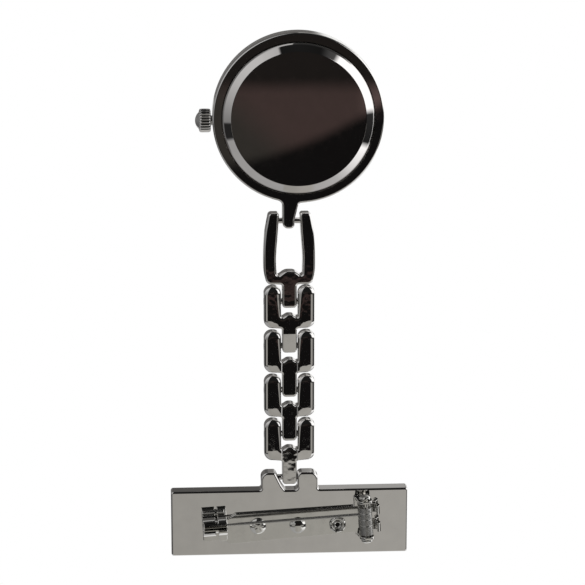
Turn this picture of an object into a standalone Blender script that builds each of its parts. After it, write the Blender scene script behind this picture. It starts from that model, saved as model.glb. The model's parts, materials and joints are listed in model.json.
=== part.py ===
"""Fob watch: a pendant watch that hangs from a hinged chain below a bar brooch.

Units are metres, +Z is up. The watch is built hanging, as worn.
The dial faces -Y and the back faces +Y.
The origin is the middle of the bar's back face, where the brooch lies on the cloth.
"""

import math

import bmesh
import bpy
from mathutils import Matrix

MM = 0.001

# Bar, lugs and brooch finding
BAR_WIDTH = 41.0 * MM
BAR_HEIGHT = 11.7 * MM
BAR_THICK = 2.6 * MM
LUG_OUTER = 4.92 * MM
LUG_INNER = 1.3 * MM
LUG_TOP = -8.95 * MM
RIVET_X = (-5.55 * MM, 1.35 * MM, 8.25 * MM)
RIVET_Z = 0.4 * MM
RIVET_HEAD_R = 1.4 * MM
RIVET_HOLE_R = 0.8 * MM
STRIP_HOLE_R = 0.85 * MM
EYE_HOLE_R = 0.6 * MM
FINDING_TILT = math.radians(3.6)
FINDING_Z = 0.26 * MM
NEEDLE_W = -1.45 * MM
NEEDLE_H = 2.5 * MM
NEEDLE_R = 0.34 * MM
NEEDLE_PIVOT_S = 13.1 * MM
CATCH_S = -12.9 * MM

# Chain
CHAIN_Y = -1.3 * MM
CHAIN_THICK = 2.4 * MM
PIN_R = 0.5 * MM
PIN_HOLE_R = 0.6 * MM
LINK_COUNT = 4
LINK_PITCH = 7.83 * MM
LINK_WIDTH = 8.75 * MM
FIRST_PIN_Z = -7.78 * MM
ARM_REACH = 2.75 * MM
SHOULDER_REACH = 3.28 * MM
TONGUE_WIDTH = 2.4 * MM
SLOT_WIDTH = 3.0 * MM
TONGUE_TIP = CHAIN_THICK / 2
LONG_LINK_PITCH = 14.0 * MM

# Case
CASE_X = 1.52 * MM
CASE_DROP = 17.65 * MM
CASE_Y = -2.48 * MM
CASE_R = 14.42 * MM
BACK_R = 12.7 * MM
LUG_LEFT = 1.2 * MM
LUG_RIGHT = 0.85 * MM
CROWN_R = 2.0 * MM
STEM_RISE = 0.6 * MM
STEM_Y = -0.1 * MM

# Joint lines
LAST_LINK_PIN_Z = FIRST_PIN_Z - LINK_COUNT * LINK_PITCH
CASE_PIN_Z = LAST_LINK_PIN_Z - LONG_LINK_PITCH
CASE_Z = CASE_PIN_Z - CASE_DROP

MERGE = 0.001 * MM
FINE = 40
ROUND = 24
SMALL = 12

TO_Y = Matrix.Rotation(-math.pi / 2, 4, "X")
TO_X = Matrix.Rotation(math.pi / 2, 4, "Y")
UPRIGHT = Matrix.Rotation(math.pi / 2, 4, "X")


# ---------------------------------------------------------------- helpers

def clear_scene():
    for obj in list(bpy.data.objects):
        bpy.data.objects.remove(obj, do_unlink=True)


def make_collection(name):
    collection = bpy.data.collections.new(name)
    bpy.context.scene.collection.children.link(collection)
    return collection


def make_material(name, colour, roughness, metallic):
    mat = bpy.data.materials.new(name)
    mat.use_nodes = True
    shader = mat.node_tree.nodes["Principled BSDF"]
    shader.inputs["Base Color"].default_value = (*colour, 1)
    shader.inputs["Roughness"].default_value = roughness
    shader.inputs["Metallic"].default_value = metallic
    return mat


def place(name, mesh, look, matrix, parent=None):
    """One named part with a material of its own, at a matrix that is relative to its parent."""
    obj = bpy.data.objects.new(name, mesh)
    PARTS.objects.link(obj)
    colour, roughness, metallic = LOOKS[look]
    mesh.materials.append(make_material(name, colour, roughness, metallic))
    obj.parent = parent
    obj.matrix_basis = matrix
    return obj


def frame_empty(name, matrix):
    empty = bpy.data.objects.new(name, None)
    empty.empty_display_size = 2 * MM
    PARTS.objects.link(empty)
    empty.matrix_basis = matrix
    return empty


def at(x, y, z):
    return Matrix.Translation((x, y, z))


def turned_mesh(name, profile, closed):
    """A profile of (radius, height) points in the XZ plane, in mm, joined by edges."""
    points = [(r * MM, 0, h * MM) for r, h in profile]
    edges = [(i, i + 1) for i in range(len(points) - 1)]
    if closed:
        edges.append((len(points) - 1, 0))
    mesh = bpy.data.meshes.new(name)
    mesh.from_pydata(points, edges, [])
    return mesh


def turned(name, profile, look, matrix, parent=None, steps=FINE):
    """A turned piece. The profile runs down its outer side, and closes on itself when it is a ring."""
    closed = all(r > 0 for r, _ in profile)
    obj = place(name, turned_mesh(name, profile, closed), look, matrix, parent)
    screw = obj.modifiers.new("Screw", "SCREW")
    screw.steps = steps
    screw.render_steps = steps
    screw.use_merge_vertices = True
    screw.merge_threshold = MERGE
    screw.use_smooth_shade = True
    return obj


def arc(centre_x, centre_y, radius, start, end, points):
    """Points in mm along an arc, from the start angle to the end angle in degrees."""
    result = []
    for i in range(points):
        angle = math.radians(start + (end - start) * i / (points - 1))
        result.append((centre_x + radius * math.cos(angle), centre_y + radius * math.sin(angle)))
    return result


def circle(centre_x, centre_y, radius, points):
    return arc(centre_x, centre_y, radius, 0, 360, points + 1)[:-1]


def mirrored(half):
    """A closed outline from its right half, which runs from bottom to top."""
    return list(half) + [(-x, y) for x, y in reversed(half) if x > 0]


def flat_mesh(name, outlines, thick):
    """Filled outlines in the XY plane, in mm, made thick about that plane and welded."""
    curve = bpy.data.curves.new(name, "CURVE")
    curve.dimensions = "2D"
    curve.fill_mode = "BOTH"
    curve.extrude = thick / 2
    for outline in outlines:
        spline = curve.splines.new("POLY")
        spline.points.add(len(outline) - 1)
        for point, (x, y) in zip(spline.points, outline):
            point.co = (x * MM, y * MM, 0, 1)
        spline.use_cyclic_u = True
    guide = bpy.data.objects.new(name + "_guide", curve)
    CUTTERS.objects.link(guide)
    bpy.context.view_layer.update()
    mesh = bpy.data.meshes.new_from_object(guide.evaluated_get(bpy.context.evaluated_depsgraph_get()))
    bpy.data.objects.remove(guide, do_unlink=True)
    bpy.data.curves.remove(curve)
    work = bmesh.new()
    work.from_mesh(mesh)
    bmesh.ops.remove_doubles(work, verts=work.verts, dist=MERGE / 10)
    bmesh.ops.dissolve_limit(
        work, angle_limit=math.radians(0.3), verts=work.verts, edges=work.edges, delimit={"NORMAL"}
    )
    bmesh.ops.recalc_face_normals(work, faces=work.faces)
    work.to_mesh(mesh)
    work.free()
    mesh.name = name
    mesh.materials.clear()
    return mesh


def flat(name, outlines, thick, look, matrix, parent=None):
    return place(name, flat_mesh(name, outlines, thick), look, matrix, parent)


def bevel(obj, width, segments=2, angle=40):
    edges = obj.modifiers.new("Bevel", "BEVEL")
    edges.width = width
    edges.segments = segments
    edges.limit_method = "ANGLE"
    edges.angle_limit = math.radians(angle)
    edges.use_clamp_overlap = True
    return obj


def cutter_mesh(name, mesh, matrix):
    obj = bpy.data.objects.new(name, mesh)
    CUTTERS.objects.link(obj)
    obj.matrix_basis = matrix
    obj.hide_render = True
    obj.display_type = "WIRE"
    return obj


def cylinder_mesh(name, radius, length, sides):
    mesh = bpy.data.meshes.new(name)
    work = bmesh.new()
    bmesh.ops.create_cone(
        work, cap_ends=True, segments=sides, radius1=radius, radius2=radius, depth=length
    )
    work.to_mesh(mesh)
    work.free()
    return mesh


def box_mesh(name, size):
    mesh = bpy.data.meshes.new(name)
    work = bmesh.new()
    bmesh.ops.create_cube(work, size=1, matrix=Matrix.Diagonal((*size, 1)))
    work.to_mesh(mesh)
    work.free()
    return mesh


def boolean(obj, other, operation="DIFFERENCE"):
    cut = obj.modifiers.new(operation.title(), "BOOLEAN")
    cut.operation = operation
    cut.solver = "EXACT"
    cut.object = other
    return obj


def drill(obj, name, radius, length, matrix, sides=SMALL):
    return boolean(obj, cutter_mesh(name, cylinder_mesh(name, radius, length, sides), matrix))


def slot(obj, name, size, matrix):
    return boolean(obj, cutter_mesh(name, box_mesh(name, size), matrix))


def join(obj, name, mesh, matrix):
    return boolean(obj, cutter_mesh(name, mesh, matrix), "UNION")


def smooth(obj, angle=35):
    """Shade the round walls smooth and keep the corners sharp."""
    mesh = obj.data
    mesh.shade_smooth()
    if mesh.polygons:
        mesh.set_sharp_from_angle(angle=math.radians(angle))
    return obj


# ---------------------------------------------------------------- looks and groups

CHROME = "chrome"
BRUSHED = "brushed steel"
BRASS = "brass"
GOLD = "gilt brass"
RUBBER = "black rubber"
PLASTIC = "white plastic"
GLASS = "mineral glass"
ENAMEL = "white dial enamel"
INK = "black hand lacquer"
RED = "red hand lacquer"
COPPER = "copper wire"
GREEN = "green board"
MAGNET = "dark magnet"

LOOKS = {
    CHROME: ((0.62, 0.61, 0.59), 0.06, 1.0),
    BRUSHED: ((0.55, 0.55, 0.54), 0.3, 1.0),
    BRASS: ((0.71, 0.55, 0.25), 0.3, 1.0),
    GOLD: ((0.83, 0.66, 0.33), 0.22, 1.0),
    RUBBER: ((0.02, 0.02, 0.02), 0.7, 0.0),
    PLASTIC: ((0.8, 0.8, 0.78), 0.45, 0.0),
    GLASS: ((0.95, 0.97, 0.97), 0.02, 0.0),
    ENAMEL: ((0.9, 0.9, 0.88), 0.35, 0.0),
    INK: ((0.01, 0.01, 0.01), 0.3, 0.0),
    RED: ((0.6, 0.02, 0.02), 0.3, 0.0),
    COPPER: ((0.72, 0.35, 0.2), 0.35, 1.0),
    GREEN: ((0.03, 0.22, 0.08), 0.5, 0.0),
    MAGNET: ((0.12, 0.12, 0.13), 0.4, 1.0),
}

clear_scene()
PARTS = make_collection("fob_watch")
CUTTERS = make_collection("fob_watch_cutters")


# ---------------------------------------------------------------- pins and chain

def cross_pin(name, length, z):
    """A plain cross pin along X with chamfered ends."""
    half = length / 2 / MM
    radius = PIN_R / MM
    ease = 0.12
    profile = [
        (0, half),
        (radius - ease, half),
        (radius, half - ease),
        (radius, ease - half),
        (radius - ease, -half),
        (0, -half),
    ]
    return turned(name, profile, CHROME, at(0, CHAIN_Y, z) @ TO_X, steps=SMALL)


def round_tongue(obj, name, pin_z, width):
    """Round a tongue's tip about its cross pin, so that it turns in its fork."""
    reach = TONGUE_TIP
    keep = cylinder_mesh(name + "_keep", reach, width * 1.5, ROUND)
    block = box_mesh(name + "_block", (width * 1.5, 3 * reach, 2 * reach))
    cutter = cutter_mesh(name + "_tip", block, at(0, CHAIN_Y, pin_z + reach))
    boolean(cutter, cutter_mesh(name + "_keep", keep, at(0, CHAIN_Y, pin_z) @ TO_X))
    return boolean(obj, cutter)


def pin_hole(obj, name, z):
    return drill(obj, name, PIN_HOLE_R, 2 * LINK_WIDTH, at(0, CHAIN_Y, z) @ TO_X)


def chain_link_outline():
    """A fork whose arms point down, a bridge and a tongue that points up.

    The fork's pin is at the origin.
    """
    half = LINK_WIDTH / 2 / MM
    arm = ARM_REACH / MM
    shoulder = (LINK_PITCH - SHOULDER_REACH) / MM
    tip = (LINK_PITCH + TONGUE_TIP) / MM
    inner = SLOT_WIDTH / 2 / MM
    tongue = TONGUE_WIDTH / 2 / MM
    corner = 0.9
    low = 1.0
    waist = 0.18
    slot_end = 2.25
    right = [(0, slot_end), (inner * 0.6, slot_end + 0.15), (inner - 0.05, slot_end + 0.5)]
    right += [(inner, -arm + 0.5)]
    right += arc(inner + 0.5, -arm + 0.5, 0.5, 180, 270, 3)
    right += arc(half - low, -arm + low, low, 270, 360, 4)
    right += [(half - waist, (shoulder - arm) / 2)]
    right += arc(half - corner, shoulder - corner, corner, 0, 90, 4)
    right += [(tongue + 0.45, shoulder), (tongue, shoulder + 0.35), (tongue, tip), (0, tip)]
    return mirrored(right)


def build_chain():
    link_shape = flat_mesh("chain_link_1", [chain_link_outline()], CHAIN_THICK)
    for i in range(LINK_COUNT):
        number = i + 1
        tongue_z = FIRST_PIN_Z - i * LINK_PITCH
        fork_z = tongue_z - LINK_PITCH
        name = f"chain_link_{number}"
        shape = link_shape if i == 0 else link_shape.copy()
        shape.materials.clear()
        link = place(name, shape, CHROME, at(0, CHAIN_Y, fork_z) @ UPRIGHT)
        bevel(link, 0.35 * MM, 1)
        round_tongue(link, name, tongue_z, TONGUE_WIDTH)
        pin_hole(link, name + "_tongue_hole", tongue_z)
        pin_hole(link, name + "_fork_hole", fork_z)
        smooth(link)
        cross_pin(f"link_pin_{number}", LINK_WIDTH - 0.5 * MM, fork_z)
    cross_pin("bar_pin", 2 * LUG_OUTER - 0.5 * MM, FIRST_PIN_Z)


def build_long_link():
    """Two bowed rails round an open window, a bridge and a tongue. The case pin is at the origin."""
    pitch = LONG_LINK_PITCH / MM
    tip = pitch + TONGUE_TIP / MM
    shoulder = pitch - 3.1
    tongue = TONGUE_WIDTH / 2 / MM
    foot = -1.5
    right = [(0, 8.7), (0.9, 8.85), (1.75, 9.5), (2.1, 9.1), (2.25, 6.8), (2.15, 4.6), (1.8, 1.6)]
    right += [(1.75, foot + 0.4), (2.1, foot), (3.3, foot), (3.72, foot + 0.45)]
    right += [(3.95, 1.6), (4.3, 4.6), (4.42, 7.2), (4.36, 9.4)]
    right += arc(3.3, shoulder - 1.0, 1.0, 15, 90, 4)
    right += [(tongue + 0.45, shoulder), (tongue, shoulder + 0.35), (tongue, tip), (0, tip)]
    link = flat(
        "long_link", [mirrored(right)], CHAIN_THICK, CHROME, at(0, CHAIN_Y, CASE_PIN_Z) @ UPRIGHT
    )
    bevel(link, 0.35 * MM, 1)
    round_tongue(link, "long_link", LAST_LINK_PIN_Z, TONGUE_WIDTH)
    pin_hole(link, "long_link_tongue_hole", LAST_LINK_PIN_Z)
    pin_hole(link, "long_link_fork_hole", CASE_PIN_Z)
    smooth(link)
    cross_pin("case_pin", 7.1 * MM, CASE_PIN_Z)


# ---------------------------------------------------------------- bar and brooch finding

def build_bar():
    """The name bar with its two lugs and the notch between them, whose left side slopes."""
    half = BAR_WIDTH / 2 / MM
    edge = BAR_HEIGHT / 2 / MM
    outer = LUG_OUTER / MM
    inner = LUG_INNER / MM
    top = LUG_TOP / MM
    notch = -edge + 0.05
    corner = 0.5
    lug_corner = 1.3
    notch_right = [(inner - 0.45, notch), (inner, notch - 0.5), (inner, top + 0.9)]
    notch_right += arc(inner + 0.9, top + 0.9, 0.9, 180, 270, 4)
    notch_left = [(-2.85, top), (-2.45, top + 0.35), (-1.35, notch - 0.75), (-0.85, notch)]
    right = arc(outer - lug_corner, top + lug_corner, lug_corner, 270, 360, 5)
    right += arc(outer + 0.3, -edge - 0.3, 0.3, 180, 90, 3)
    right += arc(half - corner, -edge + corner, corner, 270, 360, 3)
    right += arc(half - corner, edge - corner, corner, 0, 90, 3)
    left = [(-x, y) for x, y in reversed(right)]
    outline = notch_right + right + left + notch_left
    bar = flat(
        "bar_plate", [outline], BAR_THICK, CHROME, at(0, -BAR_THICK / 2, 0) @ UPRIGHT
    )
    bevel(bar, 0.25 * MM, 1)
    pin_hole(bar, "bar_pin_hole", FIRST_PIN_Z)
    for i, x in enumerate(RIVET_X):
        drill(bar, f"rivet_hole_{i}", RIVET_HOLE_R, 3.2 * MM, at(x, 0, RIVET_Z) @ TO_Y)
    smooth(bar)


def build_rivets():
    """Three rivets: a domed head over the strip and a shank in the bar."""
    head = RIVET_HEAD_R / MM
    for name, x in zip(("rivet_left", "rivet_centre", "rivet_right"), RIVET_X):
        profile = [
            (0, 1.3),
            (head * 0.55, 1.2),
            (head * 0.88, 0.98),
            (head, 0.72),
            (0.7, 0.72),
            (0.7, -1.4),
            (0, -1.4),
        ]
        turned(name, profile, CHROME, at(x, 0, RIVET_Z) @ TO_Y, steps=SMALL + 4)


def build_strip(finding):
    """The sheet strip with two folded hinge ears at its right end.

    In the finding's frame X runs along the strip, Y is the height above the bar, and Z
    runs across the strip.
    """
    outline = [(-15.1, 1.9), (-15.1, -3.4), (-11.2, -3.4), (-10.9, -1.7), (-9.0, -2.65)]
    outline += [(11.3, -2.35), (11.3, -4.05), (14.2, -4.05), (14.2, 2.95), (11.3, 2.95)]
    outline += [(11.3, 2.35), (-10.5, 2.7), (-11.9, 1.9)]
    strip = flat(
        "brooch_strip", [outline], 0.5 * MM, CHROME, at(0, 0.35 * MM, 0) @ UPRIGHT, finding
    )
    ear = [(11.45, 0.3), (14.15, 0.3), (14.3, 2.5)]
    ear += arc(13.1, 2.5, 1.2, 0, 180, 7)[1:]
    for name, w in (("ear_low", -3.8 * MM), ("ear_high", 2.7 * MM)):
        join(strip, name, flat_mesh(name, [ear], 0.5 * MM), finding.matrix_basis @ at(0, 0, w))
        drill(
            strip, name + "_hole", EYE_HOLE_R, 1.2 * MM,
            finding.matrix_basis @ at(NEEDLE_PIVOT_S, NEEDLE_H, w),
        )
    for i, x in enumerate(RIVET_X):
        drill(strip, f"strip_hole_{i}", STRIP_HOLE_R, 2 * MM, at(x, 0, RIVET_Z) @ TO_Y)
    smooth(strip)


def build_needle(finding):
    """The needle with its eye on the pivot, and the pivot rivet through the ears."""
    reach = (NEEDLE_PIVOT_S - CATCH_S) / MM + 1.0
    radius = NEEDLE_R / MM
    profile = [
        (0, reach),
        (0.08, reach - 0.05),
        (radius * 0.6, reach - 2.2),
        (radius, reach - 5.5),
        (radius, 0.9),
        (0, 0.9),
    ]
    joint = at(NEEDLE_PIVOT_S, NEEDLE_H, NEEDLE_W)
    to_left = Matrix.Rotation(-math.pi / 2, 4, "Y")
    needle = turned("needle", profile, BRUSHED, joint @ to_left, finding, steps=SMALL)
    eye_matrix = finding.matrix_basis @ joint
    join(needle, "needle_eye", cylinder_mesh("needle_eye", 1.15 * MM, 1.5 * MM, SMALL + 4), eye_matrix)
    drill(needle, "needle_eye_hole", EYE_HOLE_R, 3 * MM, eye_matrix)
    pivot = [
        (0, 4.75),
        (0.7, 4.6),
        (1.0, 4.2),
        (0.5, 4.2),
        (0.5, -3.1),
        (1.0, -3.1),
        (0.7, -3.5),
        (0, -3.65),
    ]
    flip = Matrix.Rotation(math.pi, 4, "X")
    turned(
        "needle_pivot", pivot, CHROME,
        at(NEEDLE_PIVOT_S, NEEDLE_H, 0) @ flip, finding, steps=SMALL,
    )


def c_ring(outer, inner, opening, points):
    """A ring's cross-section with a gap that faces up, of the opening angle in degrees."""
    start = 90 + opening / 2
    end = 450 - opening / 2
    return arc(0, 0, outer, start, end, points) + arc(0, 0, inner, end, start, points)


def build_catch(finding):
    """The safety catch: an open cradle on a foot, and a slotted roller that turns in it."""
    axis = at(CATCH_S, NEEDLE_H, NEEDLE_W)
    cradle = flat(
        "catch_base", [c_ring(1.78, 1.4, 80, 15)], 2.2 * MM, CHROME,
        axis @ at(-1.05 * MM, 0, 0) @ TO_X, finding,
    )
    foot_matrix = finding.matrix_basis @ at(CATCH_S - 1.05 * MM, 0.88 * MM, NEEDLE_W)
    join(cradle, "catch_foot", box_mesh("catch_foot", (2.2 * MM, 0.4 * MM, 2.9 * MM)), foot_matrix)
    smooth(cradle)
    slot_half = math.degrees(math.asin(0.55 / 1.3))
    roller = flat(
        "catch_roller", [c_ring(1.3, 0.68, 2 * slot_half, 15)], 4.1 * MM, CHROME,
        axis @ at(0.05 * MM, 0, 0) @ TO_X, finding,
    )
    lever_tilt = Matrix.Rotation(math.radians(18), 4, "X")
    collar = flat_mesh("catch_collar", [c_ring(1.75, 0.9, 62, 15)], 1.6 * MM)
    exposed = 1.25 * MM
    join(roller, "catch_collar", collar, finding.matrix_basis @ axis @ at(exposed, 0, 0) @ TO_X)
    lever = finding.matrix_basis @ axis @ lever_tilt @ at(exposed, 0, 2.2 * MM)
    join(roller, "catch_lever", box_mesh("catch_lever", (1.5 * MM, 0.5 * MM, 1.8 * MM)), lever)
    smooth(roller)


def build_finding():
    tilt = Matrix.Rotation(FINDING_TILT, 4, "Y")
    finding = frame_empty("finding_frame", at(0, 0, FINDING_Z) @ tilt)
    build_strip(finding)
    build_needle(finding)
    build_catch(finding)
    build_rivets()


# ---------------------------------------------------------------- case

def build_case(case):
    """The case middle with its bezel lip, ledge, back rebate and lug."""
    radius = CASE_R / MM
    profile = [
        (12.85, 2.4),
        (radius - 0.32, 2.4),
        (radius - 0.08, 2.2),
        (radius, 1.6),
        (radius, -1.6),
        (radius - 0.15, -3.0),
        (radius - 0.6, -4.1),
        (13.3, -4.75),
        (12.95, -4.75),
        (12.95, -3.55),
        (11.55, -3.55),
        (11.55, -3.15),
        (12.15, -3.15),
        (12.15, 1.6),
        (12.85, 1.6),
    ]
    body = turned("case_body", profile, CHROME, TO_Y, case)
    pin_x = -CASE_X / MM
    pin_y = CASE_DROP / MM
    tip = pin_y + TONGUE_TIP / MM
    left = pin_x - LUG_LEFT / MM
    right = pin_x + LUG_RIGHT / MM
    root = 13.6
    lug = [(left - 1.5, root), (right + 2.1, root), (right + 1.0, root + 1.0)]
    lug += [(right + 0.55, root + 1.9), (right, pin_y), (right, tip), (left, tip)]
    lug += [(left, root + 1.4), (left - 0.4, root + 0.75)]
    lug_mesh = flat_mesh("case_lug", [lug], CHAIN_THICK)
    join(body, "case_lug", lug_mesh, at(CASE_X, CHAIN_Y, CASE_Z) @ UPRIGHT)
    round_tongue(body, "case", CASE_PIN_Z, LUG_LEFT + LUG_RIGHT)
    pin_hole(body, "case_pin_hole", CASE_PIN_Z)
    drill(
        body, "crown_tube_hole", 1.0 * MM, 4 * MM,
        case.matrix_basis @ at(-13.3 * MM, STEM_Y, STEM_RISE) @ TO_X, SMALL + 4,
    )
    smooth(body)

    back = [
        (0, 3.3),
        (11.35, 3.3),
        (12.5, 2.66),
        (BACK_R / MM, 2.45),
        (BACK_R / MM, 1.95),
        (12.0, 1.95),
        (12.0, 1.25),
        (11.5, 1.25),
        (11.5, 2.5),
        (0, 2.5),
    ]
    turned("case_back", back, CHROME, TO_Y, case)
    turned(
        "back_gasket", [(12.75, 1.87), (12.75, 1.68), (12.25, 1.68), (12.25, 1.87)],
        RUBBER, TO_Y, case, ROUND + 12,
    )
    glass = [(0, -3.65), (12.6, -3.65), (12.6, -4.6), (12.35, -4.8), (7.5, -4.95), (0, -5.0)]
    turned("crystal", glass, GLASS, TO_Y, case)
    turned(
        "crystal_gasket", [(12.88, -3.65), (12.88, -4.5), (12.68, -4.5), (12.68, -3.65)],
        RUBBER, TO_Y, case,
    )


def build_dial(case):
    turned(
        "dial_ring", [(12.0, -2.4), (12.0, -3.05), (11.4, -3.05), (10.9, -2.4)],
        ENAMEL, TO_Y, case, ROUND + 12,
    )
    turned(
        "dial", [(12.0, -2.0), (12.0, -2.3), (0.95, -2.3), (0.95, -2.0)],
        ENAMEL, TO_Y, case, ROUND + 12,
    )
    holder = turned(
        "movement_holder", [(12.0, 1.12), (12.0, -1.9), (9.9, -1.9), (9.9, 1.12)],
        PLASTIC, TO_Y, case, ROUND + 12,
    )
    drill(
        holder, "holder_stem_hole", 0.6 * MM, 4 * MM,
        case.matrix_basis @ at(-11 * MM, STEM_Y, STEM_RISE) @ TO_X,
    )


def build_crown(case):
    """The crown, its gasket and tube, and the stem that slides through the setting pinion."""
    stem_line = frame_empty("stem_frame", case.matrix_basis @ at(0, STEM_Y, STEM_RISE))
    to_left = Matrix.Rotation(-math.pi / 2, 4, "Y")
    turned(
        "crown_tube", [(0.85, 15.9), (0.85, 12.3), (0.5, 12.3), (0.5, 15.9)],
        BRUSHED, to_left, stem_line, SMALL + 4,
    )
    flutes = 22
    radius = CROWN_R / MM
    rim = []
    for i in range(2 * flutes):
        r = radius if i % 2 == 0 else radius - 0.16
        angle = math.pi * i / flutes
        rim.append((r * math.cos(angle), r * math.sin(angle)))
    crown = flat(
        "crown", [rim], 2.45 * MM, CHROME, at(-15.85 * MM, 0, 0) @ to_left, stem_line
    )
    crown_matrix = stem_line.matrix_basis @ to_left
    limit = [(0, 17.25), (1.1, 17.2), (1.7, 17.0), (2.3, 16.45), (2.3, 14.9), (1.85, 14.55), (0, 14.55)]
    dome = cutter_mesh("crown_dome", turned_mesh("crown_dome", limit, False), crown_matrix)
    screw = dome.modifiers.new("Screw", "SCREW")
    screw.steps = ROUND
    screw.render_steps = ROUND
    screw.use_merge_vertices = True
    screw.merge_threshold = MERGE
    boolean(crown, dome, "INTERSECT")
    drill(crown, "crown_socket", 1.4 * MM, 2.6 * MM, crown_matrix @ at(0, 0, 14.95 * MM), SMALL + 4)
    turned(
        "crown_gasket", [(1.32, 15.6), (1.32, 15.2), (0.95, 15.2), (0.95, 15.6)],
        RUBBER, to_left, stem_line, SMALL + 4,
    )
    turned(
        "setting_stem",
        [(0, 16.18), (0.38, 16.18), (0.38, 8.4), (0.26, 8.4), (0.26, 6.6), (0, 6.6)],
        BRUSHED, to_left, stem_line, SMALL,
    )
    pinion = [(0.85, 8.2), (0.85, 7.8), (0.6, 7.6), (0.6, 7.3), (0.85, 7.1), (0.85, 6.9)]
    pinion += [(0.34, 6.9), (0.34, 8.2)]
    turned("setting_pinion", pinion, BRASS, to_left, stem_line, SMALL)


# ---------------------------------------------------------------- movement

def gear_outline(teeth, pitch_radius, tooth=0.16):
    """A wheel whose teeth stop just short of its pitch circle, so that a pair runs clear."""
    tip = pitch_radius - 0.05
    root = tip - tooth
    points = []
    for i in range(teeth):
        for r, share in ((root, -0.3), (tip, -0.16), (tip, 0.16), (root, 0.3)):
            angle = 2 * math.pi * (i + share) / teeth
            points.append((r * math.cos(angle), r * math.sin(angle)))
    return points


def wheel(name, look, parent, centre, teeth, pitch_radius, levels, arbor):
    """A toothed wheel between two heights, united with the arbor turned from a profile."""
    low, high = levels
    x, z = centre
    obj = flat(
        name, [gear_outline(teeth, pitch_radius)], (high - low) * MM, look,
        at(x * MM, (low + high) / 2 * MM, z * MM) @ UPRIGHT, parent,
    )
    shaft = cutter_mesh(
        name + "_arbor", turned_mesh(name + "_arbor", arbor, False),
        parent.matrix_basis @ at(x * MM, 0, z * MM) @ TO_Y,
    )
    screw = shaft.modifiers.new("Screw", "SCREW")
    screw.steps = SMALL
    screw.render_steps = SMALL
    screw.use_merge_vertices = True
    screw.merge_threshold = MERGE
    return boolean(obj, shaft, "UNION")


def staff(radius, ends, pinion_radius, pinion_ends):
    """The profile of a staff with one pinion or magnet on it, from its upper to its lower end."""
    high, low = ends
    pinion_high, pinion_low = pinion_ends
    return [
        (0, high),
        (radius, high),
        (radius, pinion_high),
        (pinion_radius, pinion_high),
        (pinion_radius, pinion_low),
        (radius, pinion_low),
        (radius, low),
        (0, low),
    ]


BATTERY_AT = (6.1, 0.0)
THIRD_AT = (-1.35, 2.34)
FIFTH_AT = (-0.96, -2.63)
ROTOR_AT = (-2.57, -3.98)
MINUTE_WHEEL_AT = (1.1, 1.905)
BRIDGE_SCREWS = ((-5.2, 3.2), (-5.6, -2.6))


def build_plates(case):
    """Main plate, train bridge on two screws, cell, its clip, and the circuit board."""
    bx, bz = BATTERY_AT
    holes = [circle(0, 0, 0.75, SMALL), circle(bx, bz, 3.55, ROUND), circle(*THIRD_AT, 0.18, 8)]
    holes += [circle(*FIFTH_AT, 0.18, 8), circle(*ROTOR_AT, 0.18, 8), circle(*MINUTE_WHEEL_AT, 0.3, 8)]
    holes += [circle(x, z, 0.42, 8) for x, z in BRIDGE_SCREWS]
    plate = flat(
        "main_plate", [circle(0, 0, 9.75, ROUND + 12)] + holes, 0.6 * MM, BRASS,
        at(0, -0.85 * MM, 0) @ UPRIGHT, case,
    )
    slot(
        plate, "stem_slot", (5 * MM, 2 * MM, 2.2 * MM),
        case.matrix_basis @ at(-8.6 * MM, STEM_Y, STEM_RISE),
    )
    bridge_holes = [circle(0, 0, 0.2, 8), circle(*THIRD_AT, 0.18, 8), circle(*FIFTH_AT, 0.18, 8)]
    bridge_holes += [circle(*ROTOR_AT, 0.18, 8)] + [circle(x, z, 0.42, 8) for x, z in BRIDGE_SCREWS]
    flat(
        "train_bridge", [circle(-2.4, -0.6, 4.75, ROUND)] + bridge_holes, 0.3 * MM, BRUSHED,
        at(0, 0.95 * MM, 0) @ UPRIGHT, case,
    )
    for i, (x, z) in enumerate(BRIDGE_SCREWS):
        profile = [(0, 1.45), (0.65, 1.45), (0.65, 1.18), (0.34, 1.18), (0.34, 0.72)]
        profile += [(0.6, 0.72), (0.6, -0.47), (0.34, -0.47), (0.34, -1.1), (0, -1.1)]
        turned(f"bridge_screw_{i + 1}", profile, BRUSHED, at(x * MM, 0, z * MM) @ TO_Y, case, SMALL)
    cell = [(0, 1.0), (2.75, 1.0), (2.8, 0.9), (3.3, 0.85), (3.4, 0.7), (3.4, -1.05)]
    cell += [(3.3, -1.15), (0, -1.15)]
    turned("battery", cell, BRUSHED, at(bx * MM, 0, bz * MM) @ TO_Y, case, ROUND)
    clip = arc(bx, bz, 2.9, 60, 300, 9) + [(bx + 2.6, -2.9), (bx + 2.6, -2.0)]
    clip += arc(bx, bz, 2.1, 300, 60, 9) + [(bx + 2.6, 2.0), (bx + 2.6, 2.9)]
    flat("battery_clip", [clip], 0.15 * MM, GOLD, at(0, 1.18 * MM, 0) @ UPRIGHT, case)
    board = [(-4.6, 5.0), (3.4, 5.0)] + arc(0, 0, 9.0, 50, 118, 7)
    flat("circuit_board", [board], 0.25 * MM, GREEN, at(0, 0.1 * MM, 0) @ UPRIGHT, case)


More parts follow.
